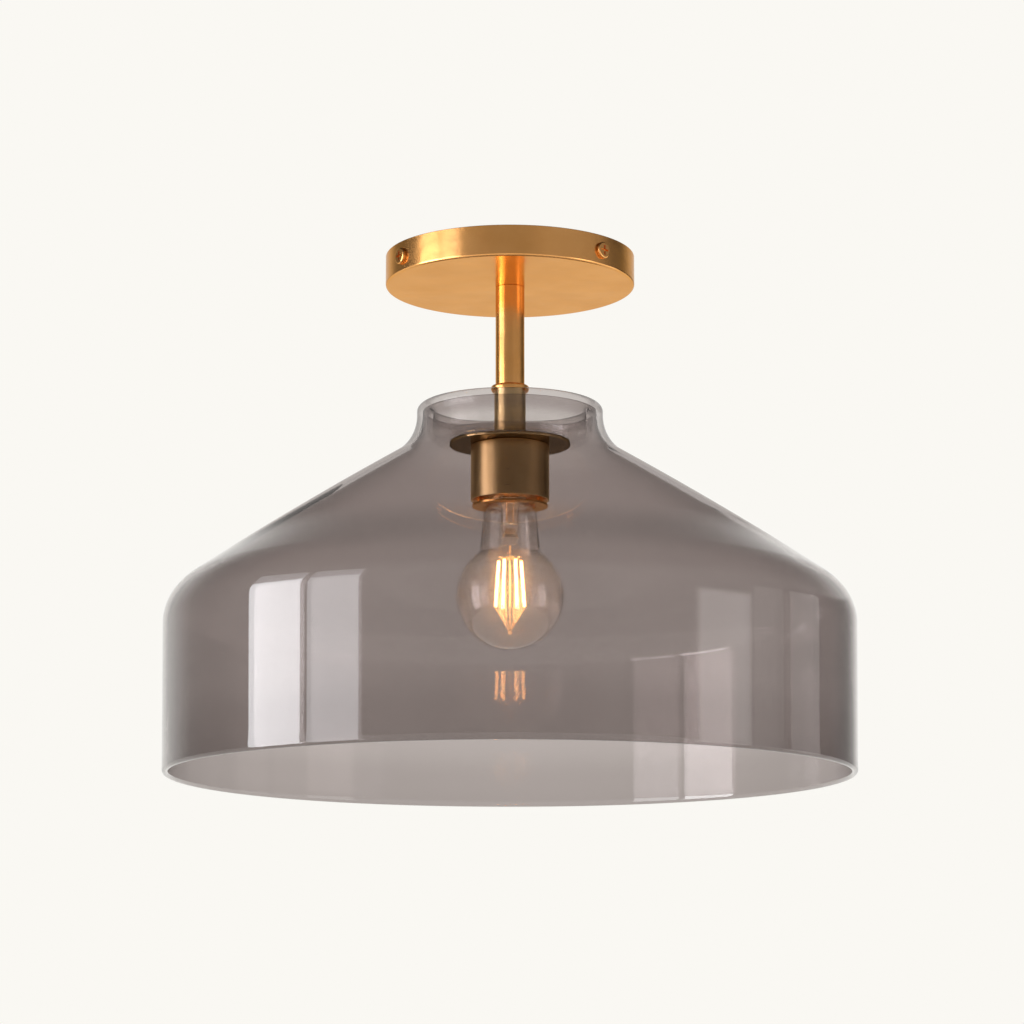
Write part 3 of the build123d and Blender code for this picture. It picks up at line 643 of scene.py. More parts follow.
def run_tree(tree, source, **sizes):
    """Runs a tree on a mesh and gives a plain mesh; First_angle sets the input First angle."""
    host = bpy.data.objects.new("host", source)
    scene.collection.objects.link(host)
    modifier = host.modifiers.new("tree", "NODES")
    modifier.node_group = tree
    inputs = {item.name: item.identifier for item in tree.interface.items_tree if item.in_out == "INPUT"}
    for name, value in sizes.items():
        modifier[inputs[name.replace("_", " ")]] = value
    graph = bpy.context.evaluated_depsgraph_get()
    mesh = bpy.data.meshes.new_from_object(host.evaluated_get(graph), depsgraph=graph)
    bpy.data.objects.remove(host)
    return mesh


def face_outwards(mesh):
    """Makes the faces of closed shells point outwards and smooths all but the crisp edges."""
    work = bmesh.new()
    work.from_mesh(mesh)
    bmesh.ops.remove_doubles(work, verts=work.verts, dist=MERGE_DISTANCE)
    bmesh.ops.recalc_face_normals(work, faces=work.faces)
    work.to_mesh(mesh)
    work.free()
    mesh.shade_smooth()
    mesh.set_sharp_from_angle(angle=CRISP_ANGLE)


def keep_piece(name, mesh, body, slot, nodes, finish=None):
    """Puts a mesh into the scene as a piece that rides on a body and stands for CAD nodes."""
    mesh.name = name
    mesh.materials.clear()
    mesh.materials.append(finishes[finish or slot])
    piece = bpy.data.objects.new(name, mesh)
    scene.collection.objects.link(piece)
    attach(piece, body)
    if nodes:
        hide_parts(*nodes)
    print(name, len(mesh.polygons), "faces")


def outline_mesh(points):
    """Outline points (radius, height) in millimetres as a mesh of points."""
    mesh = bpy.data.meshes.new("outline")
    mesh.from_pydata([(r * MM, 0, z * MM) for r, z in points], [], [])
    return mesh


def turned(name, points, body, slot, nodes, segments=96, finish=None, **thread):
    """Turns a closed outline round the axis."""
    points = list(points) + [points[0]]
    mesh = run_tree(
        lathe, outline_mesh(points), Rows=len(points), Segments=segments, Finish=finishes[slot], **thread
    )
    face_outwards(mesh)
    keep_piece(name, mesh, body, slot, nodes, finish)


# %% [markdown]
# ## Outlines with rounded corners
#
# A turned edge is never a perfect corner. The outline of a piece is written as its corners, each
# with the radius that the tool or the polishing wheel leaves there. A short straight step is kept
# on each side of a round, so that the shading of the flat next to it stays flat.

# %% Rounded outline
def rounded(corners, steps=6):
    """Closed outline through corners (radius, height, rounding), all in millimetres."""
    points = []
    for number, (r, z, rounding) in enumerate(corners):
        here = Vector((r, z))
        if rounding == 0:
            points.append((r, z))
            continue
        before = Vector(corners[number - 1][:2]) - here
        after = Vector(corners[(number + 1) % len(corners)][:2]) - here
        half = before.angle(after) / 2
        trim = rounding / math.tan(half)
        before.normalize()
        after.normalize()
        centre = here + (before + after).normalized() * rounding / math.sin(half)
        start, end = here + before * trim - centre, here + after * trim - centre
        sweep = start.angle(end)
        points.append(tuple(centre + start + before * rounding / 3))
        for step in range(steps + 1):
            share = step / steps
            arm = start * math.sin((1 - share) * sweep) + end * math.sin(share * sweep)
            points.append(tuple(centre + arm / math.sin(sweep)))
        points.append(tuple(centre + end + after * rounding / 3))
    return points


# %% [markdown]
# ## Canopy
#
# The canopy is a shallow cup, spun from sheet brass over a form and trimmed at its upper edge,
# which sits on the ceiling. Its lower corner keeps the small radius of the form.

# %% Canopy
CANOPY_RADIUS = 75.0
CANOPY_DEPTH = 18.5
CANOPY_WALL = 1.2
HOLE_RADIUS = 5.15

turned(
    "canopy_cup",
    rounded([
        (CANOPY_RADIUS, 0, 0.25),
        (CANOPY_RADIUS, -CANOPY_DEPTH, 1.4),
        (HOLE_RADIUS, -CANOPY_DEPTH, 0.2),
        (HOLE_RADIUS, CANOPY_WALL - CANOPY_DEPTH, 0.2),
        (CANOPY_RADIUS - CANOPY_WALL, CANOPY_WALL - CANOPY_DEPTH, 0.6),
        (CANOPY_RADIUS - CANOPY_WALL, 0, 0.25),
    ], 8),
    "fixture", "satin_brass", ["canopy"], segments=192,
)

# %% [markdown]
# ## Stem, collar and sleeve
#
# Two plain tubes meet at a small domed collar just above the folded neck of the glass. They are
# clamped between the canopy and the glass by the threaded tube inside them.

# %% Stem, collar and sleeve
STEM_RADIUS, STEM_BORE = 8.7, 7.5
SLEEVE_RADIUS, SLEEVE_BORE = 9.4, 8.0
STEM_BOTTOM, COLLAR_BOTTOM, SLEEVE_BOTTOM = -79.2, -83.3, -109.0
COLLAR_RADIUS = 11.4
SPIGOT, SPIGOT_GAP = 3.0, 0.05


def tube_outline(outer, bore, top, bottom, rounding):
    """Outline of a plain ring or tube."""
    return rounded([
        (outer, top, rounding), (outer, bottom, rounding), (bore, bottom, 0), (bore, top, 0)
    ])


turned(
    "stem_brass_tube", tube_outline(STEM_RADIUS, STEM_BORE, -CANOPY_DEPTH, STEM_BOTTOM, 0.25),
    "fixture", "satin_brass", ["stem_tube"], segments=128,
)
turned(
    "sleeve_brass_tube", tube_outline(SLEEVE_RADIUS, SLEEVE_BORE, COLLAR_BOTTOM, SLEEVE_BOTTOM, 0.25),
    "fixture", "satin_brass", ["sleeve_tube"], segments=128, finish="cup_brass",
)
turned(
    "collar_ring",
    rounded([
        (COLLAR_RADIUS, STEM_BOTTOM, 1.4),
        (COLLAR_RADIUS, COLLAR_BOTTOM, 1.4),
        (SLEEVE_BORE - SPIGOT_GAP, COLLAR_BOTTOM, 0),
        (SLEEVE_BORE - SPIGOT_GAP, COLLAR_BOTTOM - SPIGOT, 0.3),
        (HOLE_RADIUS, COLLAR_BOTTOM - SPIGOT, 0),
        (HOLE_RADIUS, STEM_BOTTOM + SPIGOT, 0),
        (STEM_BORE - SPIGOT_GAP, STEM_BOTTOM + SPIGOT, 0.3),
        (STEM_BORE - SPIGOT_GAP, STEM_BOTTOM, 0),
    ], 8),
    "fixture", "satin_brass", ["stem_collar"], segments=128,
)

# %% [markdown]
# ## Threaded tube
#
# One hollow threaded tube runs from the canopy to the lampholder cup and clamps everything
# between its nuts. The thread is real relief, pressed into the side by the lathe tree.

# %% Threaded tube
ROD_RADIUS, ROD_BORE = 5.0, 3.6
ROD_TOP, ROD_BOTTOM = -9.5, -121.1
ROD_PITCH, ROD_CHAMFER = 1.0, 0.5


def stepped_side(radius, top, bottom, step):
    """A straight side cut into short steps, fine enough to take a thread."""
    count = round((top - bottom) / step)
    return [(radius, top - (top - bottom) * number / count) for number in range(count + 1)]


turned(
    "rod_with_thread",
    [(ROD_RADIUS - ROD_CHAMFER, ROD_TOP)]
    + stepped_side(ROD_RADIUS, ROD_TOP - ROD_CHAMFER, ROD_BOTTOM + ROD_CHAMFER, ROD_PITCH / 6)
    + [(ROD_RADIUS - ROD_CHAMFER, ROD_BOTTOM), (ROD_BORE, ROD_BOTTOM), (ROD_BORE, ROD_TOP)],
    "fixture", "zinc_steel", ["threaded_tube"], segments=32,
    Thread_depth=0.5 * MM, Thread_pitch=ROD_PITCH * MM,
    Thread_top=(ROD_TOP - 0.6) * MM, Thread_bottom=(ROD_BOTTOM + 0.6) * MM,
    Thread_from_radius=(ROD_RADIUS - 0.1) * MM,
)

# %% [markdown]
# ## Glass shade
#
# The shade is one blown wall. It can be followed with a pencil that never leaves the glass: out
# over the floor, up the recess, over the fold, down the neck, out along the slope, round the
# shoulder and down to the rim. So the middle of the wall is walked as straight runs and bends,
# and the wall's two faces lie half its thickness to each side, joined by round ends.

# %% Glass shade: the sizes and the walk along the wall
GLASS_WALL = 4.0
GLASS_TOP, SHADE_RIM = -91.4, -314.0
FLOOR_MIDDLE = -112.0
NECK_RADIUS, RECESS_RADIUS, RIM_RADIUS = 55.7, 45.5, 203.2
RECESS_CORNER, FOLD_CORNER = 5.0, 2.3
FLARE_RADIUS, FLARE_ANGLE = 31.0, 59.0
SHOULDER_RADIUS, SHOULDER_ANGLE = 29.1, 55.4
NECK_RUN = 2.0
OVERHANG = 1.2
FLOOR_HOLE = 5.6
SIDE_STEPS = 16


def walk(start, moves):
    """Follows moves from a point, first heading outwards; gives points with their headings.

    A move is ("run", length, steps) or ("bend", radius, turn in degrees, steps).
    """
    spot, heading = Vector(start), 0.0
    track = [(spot.copy(), heading)]
    for kind, size, *rest in moves:
        steps = rest[-1]
        turn = math.radians(rest[0]) / steps if kind == "bend" else 0.0
        stride = 2 * size * math.sin(abs(turn) / 2) if kind == "bend" else size / steps
        for _ in range(steps):
            half_way = heading + turn / 2
            spot = spot + Vector((math.cos(half_way), math.sin(half_way))) * stride
            heading += turn
            track.append((spot.copy(), heading))
    return track


def wall_outline(track, wall, cap_steps=8):
    """Closed outline of a wall of even thickness round a walked line, with round ends."""
    half = wall / 2

    def beside(spot, heading, turn):
        return spot + Vector((math.cos(heading + turn), math.sin(heading + turn))) * half

    left = [tuple(beside(spot, heading, math.pi / 2)) for spot, heading in track]
    right = [tuple(beside(spot, heading, -math.pi / 2)) for spot, heading in track]
    turns = [math.pi / 2 - math.pi * step / cap_steps for step in range(1, cap_steps)]
    far_end = [tuple(beside(*track[-1], turn)) for turn in turns]
    near_end = [tuple(beside(*track[0], turn + math.pi)) for turn in turns]
    return left + far_end + right[::-1] + near_end


# %% [markdown]
# The bends of the flare and the shoulder are known from the picture, and so are the neck and the
# side. The slope between them is one long shallow bend, and its radius follows from the width that
# is left. The last run goes straight from the shoulder to the rim.

# %% Glass shade: the piece
half_wall = GLASS_WALL / 2
slope_start = NECK_RADIUS - half_wall + FLARE_RADIUS * (1 - math.cos(math.radians(FLARE_ANGLE)))
side_middle = RIM_RADIUS - half_wall + OVERHANG
slope_end = side_middle - SHOULDER_RADIUS * (1 - math.cos(math.radians(SHOULDER_ANGLE)))
slope_radius = (slope_end - slope_start) / (
    math.cos(math.radians(SHOULDER_ANGLE)) - math.cos(math.radians(FLARE_ANGLE))
)
recess_middle = RECESS_RADIUS + half_wall
floor_start = FLOOR_HOLE + half_wall
recess_run = GLASS_TOP - half_wall - FOLD_CORNER - (FLOOR_MIDDLE + RECESS_CORNER)
fold_run = NECK_RADIUS - half_wall - recess_middle - 2 * FOLD_CORNER
shade_track = walk((floor_start, FLOOR_MIDDLE), [
    ("run", recess_middle - RECESS_CORNER - floor_start, 10),
    ("bend", RECESS_CORNER, 90, 14),
    ("run", recess_run, 5),
    ("bend", FOLD_CORNER, -90, 10),
    ("run", fold_run, 2),
    ("bend", FOLD_CORNER, -90, 10),
    ("run", NECK_RUN, 3),
    ("bend", FLARE_RADIUS, FLARE_ANGLE, 28),
    ("bend", slope_radius, SHOULDER_ANGLE - FLARE_ANGLE, 30),
    ("bend", SHOULDER_RADIUS, -SHOULDER_ANGLE, 28),
])
shoulder_end = shade_track[-1][0]
rim_middle = Vector((RIM_RADIUS - half_wall, SHADE_RIM + half_wall))
side_run = rim_middle - shoulder_end
side_heading = math.atan2(side_run.y, side_run.x)
shade_track += [
    (shoulder_end + side_run * step / SIDE_STEPS, side_heading) for step in range(1, SIDE_STEPS + 1)
]
turned("shade_glass_wall", wall_outline(shade_track, GLASS_WALL),
       "fixture", "smoky_glass", ["glass_shade"], segments=256)

# %% [markdown]
# ## Washers and disc
#
# A soft washer lies on each side of the glass floor, and a polished brass disc below carries the
# weight of the shade.

# %% Washers and disc
FLOOR_TOP, FLOOR_BOTTOM = FLOOR_MIDDLE + half_wall, FLOOR_MIDDLE - half_wall
DISC_TOP, DISC_BOTTOM, DISC_RADIUS = -114.6, -116.2, 36.2

turned("washer_above", tube_outline(SLEEVE_RADIUS, HOLE_RADIUS, SLEEVE_BOTTOM, FLOOR_TOP, 0.15),
       "fixture", "clear_silicone", ["upper_gasket"])
turned("washer_below", tube_outline(DISC_RADIUS - 1, HOLE_RADIUS, FLOOR_BOTTOM, DISC_TOP, 0.15),
       "fixture", "clear_silicone", ["lower_gasket"], segments=128)
turned("carrier_disc", tube_outline(DISC_RADIUS, HOLE_RADIUS, DISC_TOP, DISC_BOTTOM, 0.35),
       "fixture", "satin_brass", ["shade_disc"], segments=160, finish="disc_brass")

# %% [markdown]
# ## Lampholder cup
#
# The cup hides the ceramic lampholder. It is drawn from brass, with a soft upper edge under the
# disc and a small step inside its mouth for the end plate.

# %% Lampholder cup
CUP_RADIUS, CUP_BOTTOM, CUP_WALL = 23.5, -149.4, 1.6
SEAT_RADIUS, SEAT_TOP = 22.6, -148.2

turned(
    "cup_shell",
    rounded([
        (CUP_RADIUS, DISC_BOTTOM, 0.6),
        (CUP_RADIUS, CUP_BOTTOM, 0.3),
        (SEAT_RADIUS, CUP_BOTTOM, 0.1),
        (SEAT_RADIUS, SEAT_TOP, 0),
        (CUP_RADIUS - CUP_WALL, SEAT_TOP, 0),
        (CUP_RADIUS - CUP_WALL, DISC_BOTTOM - CUP_WALL, 0.6),
        (HOLE_RADIUS, DISC_BOTTOM - CUP_WALL, 0),
        (HOLE_RADIUS, DISC_BOTTOM, 0),
    ]),
    "fixture", "satin_brass", ["lampholder_cup"], segments=128, finish="cup_brass",
)

# %% [markdown]
# ## Bulb cap
#
# The cap is rolled from thin sheet, so its thread is round and shallow. It is turned on the same
# lathe, with the thread pressed in over most of its length. The pitch is that of the standard
# screw cap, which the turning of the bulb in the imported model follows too.

# %% Bulb cap
CAP_RADIUS, CAP_TOP, CAP_RIM = 13.15, -130.9, -149.8
CAP_PITCH = 3.629
CONTACT_FACE, CONTACT_FOOT, CONTACT_RADIUS = -126.0, -127.5, 4.6
INSULATOR_RADIUS = 6.4
CAP_SHOULDER, CAP_INSIDE, CAP_SHEET = 11.0, 12.2, 0.35

turned(
    "cap_with_thread",
    [(INSULATOR_RADIUS, CAP_TOP), (CAP_SHOULDER, CAP_TOP), (CAP_SHOULDER + 0.6, CAP_TOP - 0.2)]
    + stepped_side(CAP_RADIUS - 0.1, CAP_TOP - 1.6, CAP_RIM + 0.6, 0.3)
    + [(CAP_RADIUS, CAP_RIM + 0.3), (CAP_RADIUS, CAP_RIM), (CAP_RADIUS - CAP_SHEET, CAP_RIM)]
    + [(CAP_RADIUS - CAP_SHEET, CAP_RIM + 2.6), (CAP_INSIDE, CAP_RIM + 3.0), (CAP_INSIDE, CAP_TOP - 2.0)]
    + [(CAP_SHOULDER, CAP_TOP - 0.5), (INSULATOR_RADIUS, CAP_TOP - CAP_SHEET)],
    "bulb", "nickel", ["bulb_cap"], segments=96,
    Thread_depth=0.6 * MM, Thread_pitch=CAP_PITCH * MM,
    Thread_top=(CAP_TOP - 2.2) * MM, Thread_bottom=(CAP_RIM + 2.6) * MM,
    Thread_from_radius=(CAP_RADIUS - 0.2) * MM,
)
turned("cap_insulator", rounded([
    (0, CONTACT_FOOT, 0), (INSULATOR_RADIUS, CONTACT_FOOT, 0.8), (11.4, CAP_TOP, 0), (0, CAP_TOP, 0)
]), "bulb_core", "black_glass", ["bulb_insulator"])
turned("cap_contact", rounded([
    (0, CONTACT_FACE, 0), (CONTACT_RADIUS, CONTACT_FACE, 1.05), (CONTACT_RADIUS, CONTACT_FOOT, 0),
    (0, CONTACT_FOOT, 0),
]), "bulb_core", "nickel", ["bulb_contact"])

# %% [markdown]
# ## Bulb glass
#
# The envelope starts as a narrow neck in the cap, widens along an almost straight side, turns a
# corner and runs into the round globe. It is a thin even wall, so its inner face is the same side
# set in by the wall, and both are worked out from the sizes of the globe and the neck.

# %% Bulb glass
GLOBE_RADIUS, GLOBE_CENTRE = 32.3, -206.8
BULB_WALL = 0.9
SEAT, GLASS_START = 12.7, -147.6
THROAT, THROAT_END = 16.2, -158.0
NECK_END = 18.1
KINK = 5.0
BULGE_STEPS = 44


def curve_between(start, start_pull, end, end_pull, steps):
    """Points on a smooth curve between two points, pulled along a direction at each end."""
    a, d = Vector(start), Vector(end)
    b, c = a + Vector(start_pull), d - Vector(end_pull)
    points = []
    for step in range(steps + 1):
        t = step / steps
        rest = 1 - t
        points.append(a * rest ** 3 + 3 * b * t * rest ** 2 + 3 * c * t ** 2 * rest + d * t ** 3)
    return points


def envelope(inset):
    """Side of the bulb from its seat to its lowest point, set in by that much."""
    globe, neck = GLOBE_RADIUS - inset, NECK_END - inset
    throat = curve_between(
        (SEAT - inset, CAP_RIM), (0, -2.6), (THROAT - inset, THROAT_END), (0.11, -2.8), 12
    )
    rise = math.acos(neck / globe)
    meeting = Vector((neck, GLOBE_CENTRE + globe * math.sin(rise)))
    # The kink between neck and globe is rounded by a curve from the neck to the globe.
    reach = KINK * math.tan((math.pi / 2 - rise) / 2)
    leave = meeting + Vector((0, reach))
    join_angle = rise - reach / globe
    join = Vector((globe * math.cos(join_angle), GLOBE_CENTRE + globe * math.sin(join_angle)))
    along = Vector((math.sin(join_angle), -math.cos(join_angle)))
    kink = curve_between(leave, (0, -reach * 0.6), join, along * reach * 0.6, 8)
    neck_side = [throat[-1].lerp(leave, step / 6) for step in range(1, 6)]
    bulge = []
    for step in range(1, BULGE_STEPS + 1):
        angle = join_angle - (join_angle + math.pi / 2) * step / BULGE_STEPS
        bulge.append(Vector((globe * math.cos(angle), GLOBE_CENTRE + globe * math.sin(angle))))
    return [Vector((SEAT - inset, GLASS_START))] + throat + neck_side + kink + bulge


outside_wall = envelope(0)
inside_wall = envelope(BULB_WALL)
outside_wall[-1].x = inside_wall[-1].x = 0
turned("bulb_envelope", [tuple(p) for p in outside_wall + inside_wall[::-1]],
       "bulb", "clear_glass", ["bulb_glass"], segments=128)

# %% [markdown]
# ## Glass mount
#
# Inside the bulb a flared tube is melted into the neck, and its lower end is pinched flat round
# the wires. A lathe can't pinch, so this piece is a loft: rings of points that change from a
# circle to a flat rounded bar, skinned one to the next. The skin also goes back up inside, so the
# tube is hollow and the whole mount is one closed piece of glass.

# %% Glass mount
MOUNT_RADIUS, MOUNT_WALL = 5.3, 0.9
MOUNT_TOP, MOUNT_END, PRESS_END = -147.6, -165.3, -177.3
FLARE_RING = 11.2
PRESS_WIDTH, PRESS_THICKNESS = 9.4, 3.0
FLARE_HEIGHT, BORE_FLOOR, PRESS_SHOULDER = 7.6, 1.8, 5.3
RING_POINTS = 48


def ring(half_x, half_y, z, power=2.0):
    """One ring of points; power 2 is an ellipse and higher powers are squarer."""
    points = []
    for number in range(RING_POINTS):
        turn = 2 * math.pi * number / RING_POINTS
        cosine, sine = math.cos(turn), math.sin(turn)
        x = math.copysign(abs(cosine) ** (2 / power), cosine) * half_x
        y = math.copysign(abs(sine) ** (2 / power), sine) * half_y
        points.append((x * MM, y * MM, z * MM))
    return points


def loft(rings):
    """Skins rings of equal counts, one to the next."""
    mesh = bpy.data.meshes.new("loft")
    points = [point for one in rings for point in one]
    faces = []
    for level in range(len(rings) - 1):
        for number in range(RING_POINTS):
            following = (number + 1) % RING_POINTS
            low, high = level * RING_POINTS, (level + 1) * RING_POINTS
            faces.append((low + number, low + following, high + following, high + number))
    mesh.from_pydata(points, [], faces)
    return mesh


def flared(radius, share):
    """A round ring of the flare; the share goes from 0 at its foot to 1 at its rim."""
    wide = radius + (FLARE_RING - MOUNT_RADIUS) * share ** 1.6
    return ring(wide, wide, MOUNT_TOP - FLARE_HEIGHT * (1 - share))


press_x, press_y = PRESS_WIDTH / 2, PRESS_THICKNESS / 2
bore = MOUNT_RADIUS - MOUNT_WALL
rings = [ring(0, 0, MOUNT_END + MOUNT_WALL), ring(bore * 0.7, bore * 0.7, MOUNT_END + MOUNT_WALL)]
rings.append(ring(bore, bore, MOUNT_END + BORE_FLOOR))
rings += [flared(bore, share) for share in (0.0, 0.25, 0.5, 0.75, 1.0)]
rings += [flared(MOUNT_RADIUS, share) for share in (1.0, 0.75, 0.5, 0.25, 0.0)]
for share in (0.0, 0.2, 0.4, 0.6, 0.8, 1.0):
    ease = share * share * (3 - 2 * share)
    half_x = MOUNT_RADIUS + (press_x - MOUNT_RADIUS) * ease
    half_y = MOUNT_RADIUS + (press_y - MOUNT_RADIUS) * ease
    rings.append(ring(half_x, half_y, MOUNT_END - PRESS_SHOULDER * share, 2 + 2 * ease))
for inset_x, inset_y, rise in ((0, 0, 0.6), (0.5, 0.4, 0.1), (1.2, 0.9, 0)):
    rings.append(ring(press_x - inset_x, press_y - inset_y, PRESS_END + rise, 4))
rings.append(ring(0, 0, PRESS_END))
mount_mesh = loft(rings)
face_outwards(mount_mesh)
keep_piece("mount_of_glass", mount_mesh, "bulb", "clear_glass", ["bulb_stem"])

# %% [markdown]
# ## Light sticks, repeated round the post
#
# Six equal sticks stand round the middle post, each leaning out a little. One stick is modelled
# from an outline, and a tree sets copies of it on a ring of points, turned to face outwards.

# %% Tree: copies round the axis
FILAMENT_COUNT = 6
FILAMENT_RADIUS, FILAMENT_LENGTH = 0.95, 28.0
FILAMENT_TOP, FILAMENT_CIRCLE, FILAMENT_LEAN = -185.3, 6.6, 4.0
FIRST_ANGLE = -60

round_copies, ins, outs = new_group(
    "round_copies",
    "GeometryNodeTree",
    [
        ("Piece", "NodeSocketGeometry", None),
        ("Count", "NodeSocketInt", 6),
        ("Circle", FLOAT, 0.01),
        ("Height", FLOAT, 0.0),
        ("Lean", FLOAT, 0.0),
        ("First angle", FLOAT, 0.0),
        ("Finish", "NodeSocketMaterial", None),
    ],
    [("Piece", "NodeSocketGeometry")],
)
sizes = ins.outputs
index = round_copies.nodes.new("GeometryNodeInputIndex").outputs[0]
share = math_node(round_copies, "DIVIDE", index, sizes["Count"])
turn = math_node(round_copies, "ADD", product(round_copies, share, 2 * math.pi), sizes["First angle"])
spot = add_node(
    round_copies, "ShaderNodeCombineXYZ",
    X=product(round_copies, sizes["Circle"], math_node(round_copies, "COSINE", turn)),
    Y=product(round_copies, sizes["Circle"], math_node(round_copies, "SINE", turn)),
    Z=sizes["Height"],
)
spots = add_node(
    round_copies, "GeometryNodePoints", Count=sizes["Count"], Position=spot.outputs[0]
)
facing = add_node(
    round_copies, "ShaderNodeCombineXYZ", Y=product(round_copies, sizes["Lean"], -1.0), Z=turn
)
copies = add_node(
    round_copies, "GeometryNodeInstanceOnPoints",
    Points=spots.outputs[0], Instance=sizes["Piece"], Rotation=facing.outputs[0],
)
end_tree(round_copies, copies.outputs[0], sizes["Finish"], outs)
print("tree", round_copies.name, "with", len(round_copies.nodes), "nodes")

# %% Light sticks
stick_outline = rounded([
    (0, 0, 0), (FILAMENT_RADIUS, 0, 0.6), (FILAMENT_RADIUS, -FILAMENT_LENGTH, 0.6), (0, -FILAMENT_LENGTH, 0)
], 4)
stick_outline.append(stick_outline[0])
stick = run_tree(lathe, outline_mesh(stick_outline), Rows=len(stick_outline), Segments=16, Finish=coating)
sticks = run_tree(
    round_copies, stick, Count=FILAMENT_COUNT, Circle=FILAMENT_CIRCLE * MM, Height=FILAMENT_TOP * MM,
    Lean=math.radians(FILAMENT_LEAN), First_angle=math.radians(FIRST_ANGLE), Finish=coating,
)
face_outwards(sticks)
keep_piece("light_sticks", sticks, "bulb", "filament_coating", ["led_filaments"])

# %% [markdown]
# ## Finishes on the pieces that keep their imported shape
#
# Plates, nuts, screws and the lampholder have the right shape already. Each takes the finish of
# its slot.

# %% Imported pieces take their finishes
slot_of = {part["node"]: part["material_slot"] for part in frame["record"]["subparts"]}
for name, node in frame["nodes"].items():
    for holder in node.material_slots:
        holder.material = finishes[slot_of[name]]
print("finished", len(slot_of), "nodes")

# %% [markdown]
# ## Studio
#
# A shop picture of glass is lit by what the glass reflects. Tall soft cards stand to the left and
# right, and a grey cloth hangs behind the camera, so the metal has something darker to show. The
# world holds both: rays that come straight from the camera or through the glass see a plain pale
# backdrop, and rays that were mirrored see the cloth, which is lighter at the far side.

# %% World
PALE, CLOTH_TINT = (0.956, 0.939, 0.896, 1), (1.0, 0.985, 0.95)
world = bpy.data.worlds.new("studio")
scene.world = world
world.use_nodes = True
tree = world.node_tree
tree.nodes.clear()
path = tree.nodes.new("ShaderNodeLightPath").outputs
reflected = math_node(tree, "GREATER_THAN", path["Glossy Depth"], 0.5)
plain = math_node(tree, "MAXIMUM", path["Is Camera Ray"], path["Is Transmission Ray"])
toward = add_node(
    tree, "ShaderNodeSeparateXYZ", Vector=tree.nodes.new("ShaderNodeTexCoord").outputs["Generated"]
)
x, y, z = toward.outputs
from_front = add_node(tree, "ShaderNodeMapRange", Value=y, From_Min=-1.0, From_Max=1.0)
cloth_levels = (
    (0, 0.40), (0.035, 0.40), (0.09, 0.48), (0.4, 0.42), (0.7, 0.19), (0.8, 0.24), (0.9, 0.8), (1, 0.95)
)
cloth = colour_ramp(tree, from_front.outputs["Result"], [
    (share, [level * part for part in CLOTH_TINT]) for share, level in cloth_levels
])
overhead = soft_step(tree, z, 0.35, 0.75, 1.0, 0.2)
corner = product(
    tree, soft_step(tree, x, 0.25, 0.6), soft_step(tree, y, -0.05, 0.3), soft_step(tree, z, 0.26, 0.22)
)
level = product(tree, overhead, math_node(tree, "SUBTRACT", 1.0, product(tree, corner, 0.7)))
backdrop = add_node(tree, "ShaderNodeBackground", Color=PALE, Strength=1.0)
daylight = add_node(tree, "ShaderNodeBackground", Color=(1.0, 0.985, 0.96, 1), Strength=0.75)
studio = add_node(tree, "ShaderNodeBackground", Color=cloth, Strength=level)
mirrored = product(tree, reflected, math_node(tree, "SUBTRACT", 1.0, path["Is Diffuse Ray"]))


def either(tree, amount, first, second):
    """Two shaders, mixed by an amount."""
    mix = tree.nodes.new("ShaderNodeMixShader")
    for socket, source in zip(mix.inputs, (amount, first, second)):
        link(tree, source, socket)
    return mix.outputs[0]


seen = either(tree, plain, daylight.outputs[0], backdrop.outputs[0])
sky = either(tree, mirrored, seen, studio.outputs[0])
link(tree, sky, tree.nodes.new("ShaderNodeOutputWorld").inputs["Surface"])
print("world", world.name, "with", len(tree.nodes), "nodes")

# %% [markdown]
# ### Floor
#
# Near the light the floor is a real surface that takes the shadow. Further out it fades into the
# pale backdrop, so that no edge shows.

# %% Floor
FLOOR_HEIGHT, FLOOR_HALF, FLOOR_CELLS = -1.1, 14.0, 28
floor_mesh = bpy.data.meshes.new("floor")
work = bmesh.new()
bmesh.ops.create_grid(work, x_segments=FLOOR_CELLS, y_segments=FLOOR_CELLS, size=FLOOR_HALF)
work.to_mesh(floor_mesh)
work.free()
floor_mesh.transform(Matrix.Translation((0, 0, FLOOR_HEIGHT)))
floor = bpy.data.objects.new("floor", floor_mesh)
scene.collection.objects.link(floor)
floor_finish, tree, shader = new_finish("pale floor", Roughness=0.9, Emission_Strength=1.0)
distance, height = distance_and_height(tree)
far = soft_step(tree, distance, 0.7, 2.4)
near = math_node(tree, "SUBTRACT", 1.0, far)
cloudy = use_group(tree, mottling, Size=3.0, Low=0.84, High=0.88)
colour_between(tree, shader, (0, 0, 0), CLOTH_TINT, product(tree, near, cloudy))
colour_between(tree, shader, (0, 0, 0), PALE[:3], far, "Emission Color")
floor_mesh.materials.append(floor_finish)
print("floor", 2 * FLOOR_HALF, "m wide")

# %% [markdown]
# ### Reflection cards
#
# A card only has to show in reflections, so it is hidden from the camera and from plain light. It
# glows only for rays that have been reflected at least once, so it never shows through the glass.
# The edges of a card fade out over a little of its width, as those of a curtained window do.

# %% Reflection cards
RAIL = (0.78, 0.83)


